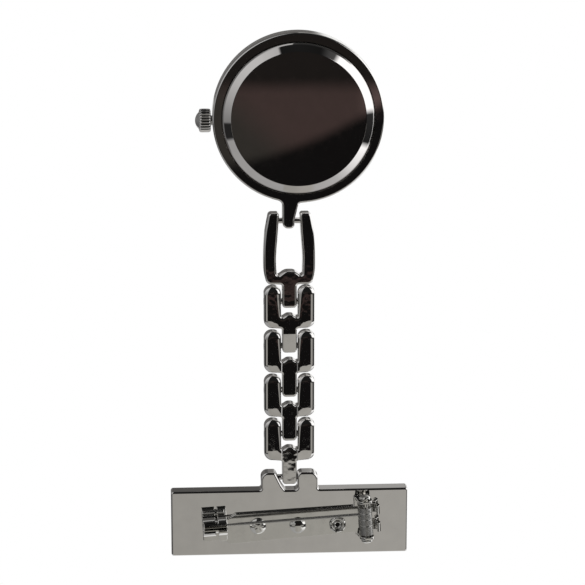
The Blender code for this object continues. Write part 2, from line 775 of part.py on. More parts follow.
def build_motor(case):
    """The step motor: stator, coil on its core, and rotor."""
    rx, rz = ROTOR_AT
    outline = [(-5.6, -8.2), (-4.7, -8.2), (-4.7, -5.6), (1.7, -5.6), (1.7, -8.2), (2.6, -8.2)]
    outline += [(2.6, -4.4), (0.2, -3.0), (-3.9, -2.6), (-5.6, -3.4)]
    flat(
        "stator", [outline, circle(rx, rz, 1.05, SMALL)], 0.25 * MM, BRUSHED,
        at(0, -0.35 * MM, 0) @ UPRIGHT, case,
    )
    bobbin = [(0, 2.95), (0.85, 2.95), (0.85, 2.75), (0.6, 2.7), (0.6, -2.7), (0.85, -2.75)]
    bobbin += [(0.85, -2.95), (0, -2.95)]
    coil_matrix = at(-1.5 * MM, 0.5 * MM, -7.4 * MM) @ TO_X
    coil = turned("coil", bobbin, COPPER, coil_matrix, case, SMALL + 4)
    core = case.matrix_basis @ at(-1.5 * MM, 0.05 * MM, -7.4 * MM)
    join(coil, "coil_core", box_mesh("coil_core", (8.0 * MM, 0.3 * MM, 0.9 * MM)), core)
    wheel(
        "rotor", MAGNET, case, ROTOR_AT, 8, 0.4, (0.45, 0.65),
        staff(0.1, (1.0, -1.0), 0.85, (0.3, -0.3)),
    )


def build_train(case):
    """The going train and the motion work under the dial."""
    wheel(
        "fifth_wheel", GOLD, case, FIFTH_AT, 20, 1.75, (0.45, 0.62),
        staff(0.1, (1.0, -1.0), 0.33, (0.4, 0.15)),
    )
    wheel(
        "third_wheel", GOLD, case, THIRD_AT, 24, 2.38, (-0.12, 0.04),
        staff(0.1, (1.0, -1.0), 0.24, (-0.2, -0.45)),
    )
    wheel(
        "fourth_wheel", GOLD, case, (0, 0), 24, 2.4, (0.18, 0.34),
        staff(0.12, (1.0, -3.45), 0.25, (0.1, -0.14)),
    )
    centre = wheel(
        "centre_wheel", GOLD, case, (0, 0), 24, 2.4, (-0.45, -0.25),
        [(0, -0.2), (0.45, -0.2), (0.45, -1.15), (0, -1.15)],
    )
    drill(centre, "centre_bore", 0.2 * MM, 3 * MM, case.matrix_basis @ TO_Y)
    cannon = wheel(
        "cannon_pinion", BRUSHED, case, (0, 0), 8, 0.6, (-1.48, -1.28),
        [(0, -1.25), (0.4, -1.25), (0.4, -3.12), (0, -3.12)],
    )
    drill(cannon, "cannon_bore", 0.2 * MM, 8 * MM, case.matrix_basis @ TO_Y)
    wheel(
        "minute_wheel", GOLD, case, MINUTE_WHEEL_AT, 24, 1.6, (-1.46, -1.3),
        [(0, -0.7), (0.2, -0.7), (0.2, -1.4), (0.38, -1.4), (0.38, -1.8), (0, -1.8)],
    )
    hour = wheel(
        "hour_wheel", GOLD, case, (0, 0), 24, 1.76, (-1.82, -1.64),
        [(0, -1.6), (0.72, -1.6), (0.72, -2.85), (0, -2.85)],
    )
    drill(hour, "hour_bore", 0.52 * MM, 8 * MM, case.matrix_basis @ TO_Y)


def hand_outline(length, tail, width, tip):
    """A tapered hand along +Y with a round hub."""
    half = width / 2
    hub = 0.55 + half
    right = [(0, -tail), (half * 0.8, -tail)] + arc(0, 0, hub, -50, 55, 5)
    right += [(half, hub + 0.4), (half, length * 0.7), (tip / 2, length), (0, length)]
    return mirrored(right)


def build_hand(name, case, outline, hole, thick, height, clock_degrees, look):
    """A hand that points at a clock angle. Twelve is at the bottom, away from the chain."""
    turn = Matrix.Rotation(math.radians(180 - clock_degrees), 4, "Z")
    flat(
        name, [outline, circle(0, 0, hole, SMALL)], thick * MM, look,
        at(0, height * MM, 0) @ UPRIGHT @ turn, case,
    )


def build_hands(case):
    minutes = 9
    build_hand(
        "hour_hand", case, hand_outline(6.2, 1.6, 0.9, 0.35), 0.78, 0.14, -2.72,
        (10 + minutes / 60) * 30, INK,
    )
    build_hand("minute_hand", case, hand_outline(9.4, 1.8, 0.7, 0.3), 0.46, 0.14, -3.02, minutes * 6, INK)
    build_hand("second_hand", case, hand_outline(9.9, 3.0, 0.28, 0.14), 0.18, 0.1, -3.36, 35 * 6, RED)


# ---------------------------------------------------------------- the whole watch

build_bar()
build_finding()
build_chain()
build_long_link()
CASE = frame_empty("case_frame", at(CASE_X, CASE_Y, CASE_Z))
bpy.context.view_layer.update()
build_case(CASE)
build_dial(CASE)
build_crown(CASE)
build_plates(CASE)
build_motor(CASE)
build_train(CASE)
build_hands(CASE)
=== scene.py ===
"""Looks of the fob watch: case, links, brooch finding and dial in fine shapes around the CAD frame.

Profiles and outlines are in millimetres. Places come from the frame, in metres.
"""

import json
import math

import bmesh
import bpy
from mathutils import Matrix, Vector


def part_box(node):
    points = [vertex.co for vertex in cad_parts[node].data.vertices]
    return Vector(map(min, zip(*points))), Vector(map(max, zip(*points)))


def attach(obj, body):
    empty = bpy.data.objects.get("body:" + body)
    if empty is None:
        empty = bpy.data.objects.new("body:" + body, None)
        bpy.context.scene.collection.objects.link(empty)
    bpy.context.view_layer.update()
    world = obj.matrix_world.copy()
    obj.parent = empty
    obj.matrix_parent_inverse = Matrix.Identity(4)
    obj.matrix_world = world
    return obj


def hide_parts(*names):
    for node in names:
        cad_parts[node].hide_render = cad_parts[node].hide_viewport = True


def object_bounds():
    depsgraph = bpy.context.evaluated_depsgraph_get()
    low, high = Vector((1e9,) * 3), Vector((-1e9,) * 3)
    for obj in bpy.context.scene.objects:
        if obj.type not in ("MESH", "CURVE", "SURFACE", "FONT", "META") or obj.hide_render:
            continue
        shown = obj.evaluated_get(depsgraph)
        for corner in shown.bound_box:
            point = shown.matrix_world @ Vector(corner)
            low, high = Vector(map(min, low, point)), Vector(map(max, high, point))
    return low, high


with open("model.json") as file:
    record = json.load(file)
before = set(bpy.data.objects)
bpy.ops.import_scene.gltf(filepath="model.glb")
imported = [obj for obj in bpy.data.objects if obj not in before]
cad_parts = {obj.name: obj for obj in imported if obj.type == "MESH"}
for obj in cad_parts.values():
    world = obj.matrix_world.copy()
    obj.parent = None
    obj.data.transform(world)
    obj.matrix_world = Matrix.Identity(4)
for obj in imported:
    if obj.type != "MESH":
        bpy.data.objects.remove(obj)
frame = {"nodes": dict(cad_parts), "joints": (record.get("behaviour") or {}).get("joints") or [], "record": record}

CAD_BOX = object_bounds()
JOINTS = {joint["name"]: joint for joint in frame["joints"]}

MM = 0.001
# How far beyond a rim the next row of points lies, in mm, and its limit as a share of the rim
HOLD = 0.055
HOLD_SHARE = 0.6
ARC_STEP = 9
TURN_STEPS = 160
DIAL_TURN_STEPS = 200
CASE_TURN_STEPS = 240
SHARP = math.radians(40)

# Local Z to world +Y, local Z to world +X, and a drawing stood up to face -Y
TO_Y = Matrix.Rotation(-math.pi / 2, 4, "X")
TO_X = Matrix.Rotation(math.pi / 2, 4, "Y")
UPRIGHT = Matrix.Rotation(math.pi / 2, 4, "X")

LOOKS = bpy.data.collections.new("fob_watch_looks")
bpy.context.scene.collection.children.link(LOOKS)


# ---------------------------------------------------------------- places

def joint_at(name):
    return Vector(JOINTS[name]["pos_m"])


def shift(point):
    return Matrix.Translation(point)


def shift_mm(x, y, z):
    return Matrix.Translation((x * MM, y * MM, z * MM))


CASE_CENTRE = joint_at("minute_turn")
CASE = shift(CASE_CENTRE)
CASE_PIN = joint_at("case_hinge")
CHAIN_Y = CASE_PIN.y
LINK_PINS = [joint_at(f"link_{i}_hinge") for i in range(1, 5)] + [joint_at("long_link_hinge")]
LINK_PITCH = (LINK_PINS[0].z - LINK_PINS[1].z) / MM
BAR_LOW, BAR_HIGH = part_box("bar_plate")

ALONG = -Vector(JOINTS["catch_turn"]["axis"])
ACROSS = -Vector(JOINTS["needle_hinge"]["axis"])
PIVOT_S = 13.1
PIVOT_H = 2.5
CATCH_S = -12.9
NEEDLE_W = -1.45
FINDING_CENTRE = joint_at("needle_hinge") - PIVOT_S * MM * ALONG - Vector((0, PIVOT_H * MM, 0))
FINDING = shift(FINDING_CENTRE) @ Matrix((ALONG, (0, 1, 0), ACROSS)).transposed().to_4x4()


# ---------------------------------------------------------------- outlines

def arc(centre_x, centre_y, radius, start, end, step=ARC_STEP):
    """Points along an arc, from the start angle to the end angle in degrees."""
    count = max(2, math.ceil(abs(end - start) / step))
    result = []
    for i in range(count + 1):
        angle = math.radians(start + (end - start) * i / count)
        result.append((centre_x + radius * math.cos(angle), centre_y + radius * math.sin(angle)))
    return result


def corner_arc(before, here, after, radius):
    """The points of one rounded corner, or the corner itself where it is sharp or straight."""
    back = (before - here)
    ahead = (after - here)
    turn = math.pi - back.angle(ahead)
    if radius == 0 or turn < math.radians(2):
        return [here]
    cut = radius * math.tan(turn / 2)
    room = 0.47 * min(back.length, ahead.length)
    if cut > room:
        radius *= room / cut
        cut = room
    start = here + back.normalized() * cut
    inward = (back.normalized() + ahead.normalized()).normalized()
    centre = here + inward * (radius / math.cos(turn / 2))
    spoke = start - centre
    side = math.copysign(1, back.x * ahead.y - back.y * ahead.x)
    count = max(2, math.ceil(math.degrees(turn) / ARC_STEP))
    return [centre + Matrix.Rotation(-side * turn * i / count, 2) @ spoke for i in range(count + 1)]


def rounded(points, closed=True):
    """An outline from (x, y, radius) corners. Straight runs have one more point near each end."""
    count = len(points)
    runs = []
    for i in range(count):
        here = Vector(points[i][:2])
        if not closed and i in (0, count - 1):
            runs.append([here])
            continue
        before = Vector(points[i - 1][:2])
        after = Vector(points[(i + 1) % count][:2])
        runs.append(corner_arc(before, here, after, points[i][2]))
    result = []
    for i in range(count if closed else count - 1):
        run = runs[i]
        following = runs[(i + 1) % count]
        result += run
        gap = following[0] - run[-1]
        if gap.length > 4 * HOLD:
            if len(run) > 1:
                result.append(run[-1] + gap.normalized() * HOLD)
            if len(following) > 1:
                result.append(following[0] - gap.normalized() * HOLD)
    if not closed:
        result += runs[-1]
    return [(p.x, p.y) for p in result]


def mirrored(half):
    """A closed list of corners from its right half, which starts and ends off the centre line."""
    return list(half) + [(-x, y, radius) for x, y, radius in reversed(half)]


def curve_through(points, pieces=5):
    """A smooth Catmull-Rom curve through the points."""
    result = []
    for i in range(len(points) - 1):
        a = Vector(points[max(i - 1, 0)])
        b = Vector(points[i])
        c = Vector(points[i + 1])
        d = Vector(points[min(i + 2, len(points) - 1)])
        for k in range(pieces):
            t = k / pieces
            bend = a * 2 - b * 5 + c * 4 - d
            twist = b * 3 - a - c * 3 + d
            p = b * 2 + (c - a) * t + bend * t ** 2 + twist * t ** 3
            result.append((p.x / 2, p.y / 2))
    result.append(tuple(points[-1]))
    return result


def anticlockwise(outline):
    area = 0
    for (x1, y1), (x2, y2) in zip(outline, outline[1:] + outline[:1]):
        area += x1 * y2 - x2 * y1
    return outline if area > 0 else outline[::-1]


def inset(outline, distances):
    """An anticlockwise outline moved inwards, each point by its own distance."""
    result = []
    for i, (here, distance) in enumerate(zip(outline, distances)):
        before = Vector(outline[i - 1])
        after = Vector(outline[(i + 1) % len(outline)])
        one = (Vector(here) - before).normalized().orthogonal()
        two = (after - Vector(here)).normalized().orthogonal()
        move = (one + two) * (distance / (1 + max(one.dot(two), -0.5)))
        result.append((here[0] + move.x, here[1] + move.y))
    return result


# ---------------------------------------------------------------- solids

def make_piece(name, work, matrix):
    """A named object from a bmesh that was drawn in mm."""
    bmesh.ops.recalc_face_normals(work, faces=work.faces)
    work.transform(Matrix.Scale(MM, 4))
    work.transform(matrix)
    mesh = bpy.data.meshes.new(name)
    work.to_mesh(mesh)
    work.free()
    obj = bpy.data.objects.new(name, mesh)
    LOOKS.objects.link(obj)
    return obj


def bridge(work, rings):
    """Quads between rings of vertices, and triangles where a ring is a single point."""
    for lower, upper in zip(rings, rings[1:]):
        count = max(len(lower), len(upper))
        for i in range(count):
            j = (i + 1) % count
            corners = [lower[i % len(lower)], lower[j % len(lower)]]
            corners += [upper[j % len(upper)], upper[i % len(upper)]]
            work.faces.new(list(dict.fromkeys(corners)))


def lathe(name, corners, matrix, steps=TURN_STEPS):
    """A turned solid from (radius, height, rounding) corners: a ring, or full from axis to axis."""
    ring = all(corner[0] > 0 for corner in corners)
    profile = rounded(corners, closed=ring)
    angles = [math.tau * i / steps for i in range(steps)]
    spokes = [(math.cos(angle), math.sin(angle)) for angle in angles]
    work = bmesh.new()
    rings = []
    for radius, height in profile:
        if radius == 0:
            rings.append([work.verts.new((0, 0, height))])
            continue
        rings.append([work.verts.new((radius * x, radius * y, height)) for x, y in spokes])
    if ring:
        rings.append(rings[0])
    bridge(work, rings)
    return make_piece(name, work, matrix)


def rim_curve(rim, steps=7):
    """(inset, drop) pairs from face to wall. rim is (width, depth, power), an ellipse at power 2."""
    width, depth, power = rim
    pairs = [(width + min(HOLD, width * HOLD_SHARE), 0)]
    for i in range(steps + 1):
        angle = math.pi / 2 * i / steps
        across = abs(math.sin(angle)) ** (2 / power)
        rise = abs(math.cos(angle)) ** (2 / power)
        pairs.append((width * (1 - across), depth * (1 - rise)))
    return pairs


def plate_work(outline, low, high, rim_low, rim_high, share=None):
    """A flat body in a bmesh. share(x, y) scales both rims at a point of the outline."""
    outline = anticlockwise(outline)
    shares = [share(x, y) if share else 1 for x, y in outline]
    room = high - low - rim_low[1] - rim_high[1] > 3 * HOLD
    levels = [(depth, low, drop, 0) for depth, drop in rim_curve(rim_low)]
    if room:
        levels += [(0, low, rim_low[1], HOLD), (0, high, -rim_high[1], -HOLD)]
    levels += [(depth, high, -drop, 0) for depth, drop in reversed(rim_curve(rim_high))]
    work = bmesh.new()
    rings = []
    for depth, face, drop, hold in levels:
        moved = inset(outline, [depth * part for part in shares])
        heights = [face + drop * part + hold for part in shares]
        rings.append([work.verts.new((x, y, height)) for (x, y), height in zip(moved, heights)])
    bridge(work, rings)
    work.faces.new(rings[0])
    work.faces.new(rings[-1])
    return work


def plate(name, outline, low, high, rim_low, rim_high, matrix):
    """An outline made thick from low to high, with round rims of these radii."""
    work = plate_work(outline, low, high, (rim_low, rim_low, 2), (rim_high, rim_high, 2))
    return make_piece(name, work, matrix)


def bar_stock(name, radius, length, matrix, rim=0.08, steps=48):
    """A round pin along local Z with eased ends, centred on the matrix."""
    half = length / 2
    corners = [(0, half, 0), (radius, half, rim), (radius, -half, rim), (0, -half, 0)]
    return lathe(name, corners, matrix, steps)


def boolean(piece, tool, operation="DIFFERENCE"):
    """Cut or join at once, and drop the tool."""
    change = piece.modifiers.new("Boolean", "BOOLEAN")
    change.operation = operation
    change.solver = "EXACT"
    change.object = tool
    bpy.context.view_layer.update()
    depsgraph = bpy.context.evaluated_depsgraph_get()
    mesh = bpy.data.meshes.new_from_object(piece.evaluated_get(depsgraph))
    piece.modifiers.clear()
    old = piece.data
    piece.data = mesh
    bpy.data.meshes.remove(old)
    bpy.data.objects.remove(tool, do_unlink=True)
    return piece


def drill(piece, radius, length, matrix):
    """A round hole along local Z, turned a little so that its edges keep off the piece's own."""
    off_grid = Matrix.Rotation(math.radians(1.7), 4, "Z")
    return boolean(piece, bar_stock("drill", radius, length, matrix @ off_grid, rim=0.02, steps=44))


def join(piece, other):
    return boolean(piece, other, "UNION")


# ---------------------------------------------------------------- materials

class Nodes:
    """Short calls for the few shader nodes used here."""

    def __init__(self, tree):
        self.tree = tree

    def add(self, kind, **values):
        node = self.tree.nodes.new(kind)
        for key, value in values.items():
            setattr(node, key, value)
        return node

    def link(self, value, socket):
        if isinstance(value, bpy.types.NodeSocket):
            self.tree.links.new(value, socket)
        else:
            socket.default_value = value

    def math(self, operation, one, two=0.0):
        node = self.add("ShaderNodeMath", operation=operation)
        self.link(one, node.inputs[0])
        self.link(two, node.inputs[1])
        return node.outputs[0]

    def ease(self, value, start, end, low=0.0, high=1.0):
        """low before start, high after end, and smooth between them."""
        node = self.add("ShaderNodeMapRange", interpolation_type="SMOOTHSTEP")
        self.link(value, node.inputs["Value"])
        self.link(start, node.inputs["From Min"])
        self.link(end, node.inputs["From Max"])
        node.inputs["To Min"].default_value = low
        node.inputs["To Max"].default_value = high
        return node.outputs["Result"]

    def ramp(self, value, stops):
        node = self.add("ShaderNodeValToRGB")
        self.link(value, node.inputs["Fac"])
        elements = node.color_ramp.elements
        while len(elements) < len(stops):
            elements.new(0.5)
        for element, (position, colour) in zip(elements, stops):
            element.position = position
            element.color = (*colour, 1)
        return node.outputs["Color"]

    def mix(self, share, one, two):
        node = self.add("ShaderNodeMix", data_type="RGBA")
        self.link(share, node.inputs["Factor"])
        self.link(one, node.inputs[6])
        self.link(two, node.inputs[7])
        return node.outputs[2]

    def noise(self, coordinates, scale, detail=2.0, stretch=None):
        if stretch:
            mapping = self.add("ShaderNodeMapping")
            self.link(coordinates, mapping.inputs["Vector"])
            mapping.inputs["Scale"].default_value = stretch
            coordinates = mapping.outputs["Vector"]
        node = self.add("ShaderNodeTexNoise")
        self.link(coordinates, node.inputs["Vector"])
        node.inputs["Scale"].default_value = scale
        node.inputs["Detail"].default_value = detail
        return node.outputs["Fac"]

    def bump(self, height, distance, normal=None):
        node = self.add("ShaderNodeBump")
        node.inputs["Strength"].default_value = 1.0
        node.inputs["Distance"].default_value = distance
        self.link(height, node.inputs["Height"])
        if normal is not None:
            self.link(normal, node.inputs["Normal"])
        return node.outputs["Normal"]


def grey(value):
    return (value, value, value)


def surface(name):
    """A new material, its nodes, its shader and its object coordinates."""
    material = bpy.data.materials.new(name)
    material.use_nodes = True
    nodes = Nodes(material.node_tree)
    shader = material.node_tree.nodes["Principled BSDF"]
    coordinates = nodes.add("ShaderNodeTexCoord").outputs["Object"]
    return material, nodes, shader, coordinates


def tinted(nodes, coordinates, colour, spread, scale):
    """A colour that drifts by a small share over the surface."""
    dark = tuple(channel * (1 - spread) for channel in colour)
    light = tuple(min(channel * (1 + spread), 1) for channel in colour)
    return nodes.ramp(nodes.noise(coordinates, scale, 3), [(0.3, dark), (0.7, light)])


def polished(name, colour, roughness, wave_size, wave_height, hairline, stretch=(1, 1, 14), form=None):
    """Bright plate: slow polishing waves, hairlines, a film of handling, and its tumbled form."""
    material, nodes, shader, coordinates = surface(name)
    shader.inputs["Metallic"].default_value = 1.0
    nodes.link(tinted(nodes, coordinates, colour, 0.03, 400), shader.inputs["Base Color"])
    film = nodes.noise(coordinates, 900, 4)
    scratch = nodes.noise(coordinates, 9000, 2, stretch)
    dull = nodes.ease(film, 0.35, 0.7, 0, roughness)
    rubbed = nodes.ease(scratch, 0.5, 0.8, 0.01, roughness * 0.5)
    nodes.link(nodes.math("ADD", dull, rubbed), shader.inputs["Roughness"])
    normal = nodes.bump(form(nodes, coordinates), 1.0) if form else None
    normal = nodes.bump(nodes.noise(coordinates, 1 / (wave_size * MM), 1), wave_height, normal)
    nodes.link(nodes.bump(scratch, hairline, normal), shader.inputs["Normal"])
    return material


def brushed(name, colour, roughness, stretch=(1, 1, 20), depth=1.5e-6):
    """Turned or drawn metal with fine lines."""
    material, nodes, shader, coordinates = surface(name)
    shader.inputs["Metallic"].default_value = 1.0
    lines = nodes.noise(coordinates, 12000, 3, stretch)
    nodes.link(tinted(nodes, coordinates, colour, 0.08, 1500), shader.inputs["Base Color"])
    gloss = nodes.ease(lines, 0.3, 0.7, roughness * 0.8, roughness * 1.25)
    nodes.link(gloss, shader.inputs["Roughness"])
    nodes.link(nodes.bump(lines, depth), shader.inputs["Normal"])
    return material


def coated(name, colour, roughness, coat=0.0, grain=2.0e-6, scale=6000, spread=0.05):
    """Paint, enamel, rubber or moulded plastic with a fine grain."""
    material, nodes, shader, coordinates = surface(name)
    shader.inputs["Coat Weight"].default_value = coat
    shader.inputs["Coat Roughness"].default_value = 0.05
    texture = nodes.noise(coordinates, scale, 4)
    nodes.link(tinted(nodes, coordinates, colour, spread, 1200), shader.inputs["Base Color"])
    gloss = nodes.ease(texture, 0.3, 0.7, roughness * 0.85, roughness * 1.15)
    nodes.link(gloss, shader.inputs["Roughness"])
    nodes.link(nodes.bump(texture, grain), shader.inputs["Normal"])
    return material


def clear_glass(name):
    """Mineral glass with the faintest smears."""
    material, nodes, shader, coordinates = surface(name)
    shader.inputs["Base Color"].default_value = (0.98, 0.99, 0.99, 1)
    shader.inputs["Transmission Weight"].default_value = 1.0
    shader.inputs["IOR"].default_value = 1.5
    smear = nodes.noise(coordinates, 250, 3)
    nodes.link(nodes.ease(smear, 0.45, 0.8, 0.0, 0.04), shader.inputs["Roughness"])
    return material


def link_form(nodes, coordinates):
    """How far the links' faces fall away, in metres: at the shoulders and along the fourth tongue."""
    shoulder_start = LINK_PINS[4].z + 2.7 * MM
    shoulder_fall = 1.0e-3
    tongue_start = LINK_PINS[3].z - 2.3 * MM
    tongue_length = 3.5 * MM
    tongue_slope = 0.028
    parts = nodes.add("ShaderNodeSeparateXYZ")
    nodes.link(coordinates, parts.inputs[0])
    height = parts.outputs["Z"]
    aside = nodes.math("ABSOLUTE", parts.outputs["X"])
    along = nodes.math("DIVIDE", nodes.math("SUBTRACT", height, shoulder_start), LINK_PITCH * MM)
    share = nodes.math("MINIMUM", nodes.math("FRACT", nodes.math("MAXIMUM", along, 0.0)), 0.3)
    shoulders = nodes.ease(aside, 1.0 * MM, 2.6 * MM, 0.0, -shoulder_fall)
    body = nodes.math("MULTIPLY", nodes.math("MULTIPLY", share, share), shoulders)
    risen = nodes.math("MAXIMUM", nodes.math("SUBTRACT", height, tongue_start), 0.0)
    slope = nodes.ease(aside, 1.28 * MM, 1.4 * MM, -tongue_slope, 0.0)
    tongue = nodes.math("MULTIPLY", nodes.math("MINIMUM", risen, tongue_length), slope)
    return nodes.math("ADD", body, tongue)


CHROME = (0.78, 0.765, 0.75)
BACK_CHROME = (0.78, 0.755, 0.74)
NICKEL = (0.74, 0.73, 0.7)
MATERIALS = {
    "bar_chrome": polished("bar_chrome", CHROME, 0.02, 9, 1.0e-6, 0.02e-6, (14, 1, 1)),
    "finding_nickel": polished("finding_nickel", NICKEL, 0.07, 1.6, 2.0e-6, 0.05e-6, (14, 1, 1)),
    # The needle's base colour is painted darker than the other steel. This is painted shade: it stands for the
    # soft shaded band along the needle.
    "needle_steel": brushed("needle_steel", (0.4, 0.395, 0.38), 0.36, (20, 1, 1), 0.3e-6),
    "chain_chrome": polished("chain_chrome", CHROME, 0.03, 1.3, 5.5e-6, 0.04e-6, form=link_form),
    "case_chrome": polished("case_chrome", CHROME, 0.02, 4, 0.8e-6, 0.04e-6),
    "back_chrome": polished("back_chrome", BACK_CHROME, 0.015, 6, 0.6e-6, 0.02e-6, (1, 14, 1)),
    "crystal_glass": clear_glass("crystal_glass"),
    "gasket_rubber": coated("gasket_rubber", (0.02, 0.02, 0.02), 0.6),
    "dial_enamel": coated("dial_enamel", (0.86, 0.86, 0.84), 0.3, 0.3, 0.6e-6, 9000, 0.015),
    "hand_lacquer": coated("hand_lacquer", (0.012, 0.012, 0.014), 0.22, 0.5, 0.5e-6),
    "second_lacquer": coated("second_lacquer", (0.62, 0.02, 0.02), 0.25, 0.5, 0.5e-6),
    "holder_plastic": coated("holder_plastic", (0.8, 0.8, 0.78), 0.45),
    "steel": brushed("steel", (0.55, 0.55, 0.54), 0.28),
    "plate_brass": brushed("plate_brass", (0.71, 0.55, 0.25), 0.3),
    "wheel_brass": brushed("wheel_brass", (0.83, 0.66, 0.33), 0.25),
    "cell_steel": brushed("cell_steel", (0.6, 0.6, 0.6), 0.25),
    "board": coated("board", (0.03, 0.22, 0.08), 0.45, 0.2),
    "coil_copper": brushed("coil_copper", (0.72, 0.35, 0.2), 0.3, (30, 1, 1)),
    "magnet": brushed("magnet", (0.12, 0.12, 0.13), 0.4),
}


# ---------------------------------------------------------------- putting a piece in place

NODE_SLOTS = {part["node"]: part["material_slot"] for part in frame["record"]["subparts"]}


def finish(piece, body, *nodes, look=None):
    """Smooth the piece, paint it from its slot, and let it ride and replace."""
    slot_name = look or NODE_SLOTS[nodes[0]]
    mesh = piece.data
    mesh.materials.clear()
    mesh.materials.append(MATERIALS[slot_name])
    mesh.polygons.foreach_set("material_index", [0] * len(mesh.polygons))
    mesh.shade_smooth()
    mesh.set_sharp_from_angle(angle=SHARP)
    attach(piece, body)
    if nodes:
        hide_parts(*nodes)
    return piece


# ---------------------------------------------------------------- chain

THICK = 2.4
LINK_RIM = (1.2, 0.55, 2.5)
LONG_RIM = 0.36
TONGUE_HALF = 1.25
TIP_REACH = 0.98
PIN_R = 0.5
PIN_HOLE_R = 0.6


def build_pin(name, pin, body):
    """A cross pin with eased ends, as long as its CAD pin."""
    low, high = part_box(name)
    piece = bar_stock(name + "_fine", PIN_R, (high.x - low.x) / MM, shift(pin) @ TO_X)
    finish(piece, body, name)


SHOULDER = LINK_PITCH - 3.28


def link_outline():
    """Two arms that reach down past the fork's pin at the origin, a bridge, and a tongue above."""
    half = 4.36
    slot = 1.42
    arm_end = -2.75
    return rounded(mirrored([
        (0.45, 2.2, 1.0),
        (slot, 2.85, 0.22),
        (slot, arm_end, 1.38),
        (half, arm_end, 1.4),
        (half, SHOULDER, 1.4),
        (TONGUE_HALF, SHOULDER, 0.4),
        (TONGUE_HALF, LINK_PITCH + TIP_REACH, 0.6),
    ]))


def link_share(x, y):
    """The body is softly domed. The tongue and the slot's end have finer rims."""
    if abs(x) < 2 and y > SHOULDER - 0.1:
        return 0.3
    if abs(x) < 2 and y > 1:
        return 0.5
    return 1


def build_links():
    outline = link_outline()
    for i in range(4):
        tongue_pin = LINK_PINS[i]
        fork_pin = LINK_PINS[i + 1]
        work = plate_work(outline, -THICK / 2, THICK / 2, LINK_RIM, LINK_RIM, link_share)
        piece = make_piece(f"link_{i + 1}_fine", work, shift(fork_pin) @ UPRIGHT)
        for pin in (tongue_pin, fork_pin):
            drill(piece, PIN_HOLE_R, 12, shift(pin) @ TO_X)
        finish(piece, f"link_{i + 1}", f"chain_link_{i + 1}")
        build_pin(f"link_pin_{i + 1}", fork_pin, f"link_{i + 1}")
    build_pin("bar_pin", LINK_PINS[0], "bar")


def build_long_link():
    """Two bowed rails round an open window, an arched bridge and a tongue, about the case pin."""
    pitch = (LINK_PINS[4].z - CASE_PIN.z) / MM
    rail = [(3.88, 0.2), (4.16, 1.8), (4.36, 4.0), (4.42, 6.2), (4.4, 8.2), (4.26, 9.3)]
    outer = curve_through(rail)
    inner = curve_through([(2.2, 8.2), (2.24, 6.4), (2.14, 4.6), (1.95, 2.2), (1.82, 0.2)])
    half = [(0.8, 8.55, 1.6), (1.86, 9.35, 0.22), (2.18, 9.12, 0.18)]
    half += [(x, y, 0) for x, y in inner]
    half += [(1.74, -1.5, 0.45), (3.56, -1.5, 0.6)]
    half += [(x, y, 0) for x, y in outer]
    half += [(3.85, 10.85, 1.1), (TONGUE_HALF, 10.9, 0.4), (TONGUE_HALF, pitch + TIP_REACH, 0.55)]
    outline = rounded(mirrored(half))
    place = shift(CASE_PIN) @ UPRIGHT
    piece = plate("long_link_fine", outline, -THICK / 2, THICK / 2, LONG_RIM, LONG_RIM, place)
    for pin in (LINK_PINS[4], CASE_PIN):
        drill(piece, PIN_HOLE_R, 12, shift(pin) @ TO_X)
    finish(piece, "long_link", "long_link")
    build_pin("case_pin", CASE_PIN, "long_link")


# ---------------------------------------------------------------- bar

RIVETS = ("rivet_left", "rivet_centre", "rivet_right")
BAR_HOLE_R = 0.8
STRIP_HOLE_R = 0.85


def rivet_place(name):
    low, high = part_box(name)
    return Vector(((low.x + high.x) / 2, 0, (low.z + high.z) / 2))


def build_bar():
    """The flat name bar with softened edges and two lugs. Their notch has one sloping side."""
    half = BAR_HIGH.x / MM
    top = BAR_HIGH.z / MM
    lug_end = BAR_LOW.z / MM
    right = [
        (1.35, -top + 0.05, 0.5),
        (1.35, lug_end, 0.75),
        (4.92, lug_end, 1.3),
        (4.92, -top, 0.35),
        (half, -top, 0.45),
        (half, top, 0.45),
    ]
    left = [(-x, y, radius) for x, y, radius in reversed(right[2:])]
    slope = [(-2.5, lug_end, 0.4), (-1.36, -6.6, 0.6), (-0.8, -top + 0.05, 0.3)]
    thick = (BAR_HIGH.y - BAR_LOW.y) / MM
    piece = plate("bar_fine", rounded(right + left + slope), 0, thick, 0.33, 0.3, UPRIGHT)
    drill(piece, PIN_HOLE_R, 14, shift(LINK_PINS[0]) @ TO_X)
    for name in RIVETS:
        drill(piece, BAR_HOLE_R, 3.2, shift(rivet_place(name)) @ TO_Y)
    finish(piece, "bar", "bar_plate")


# ---------------------------------------------------------------- brooch finding

def cross_outline(reach, half):
    """A plus sign."""
    arm = [(half, half), (half, reach), (-half, reach), (-half, half)]
    points = []
    for quarter in range(4):
        turn = Matrix.Rotation(math.pi / 2 * quarter, 2)
        for corner in arm[:3]:
            spot = turn @ Vector(corner)
            points.append((spot.x, spot.y, 0.06))
    return rounded(points)


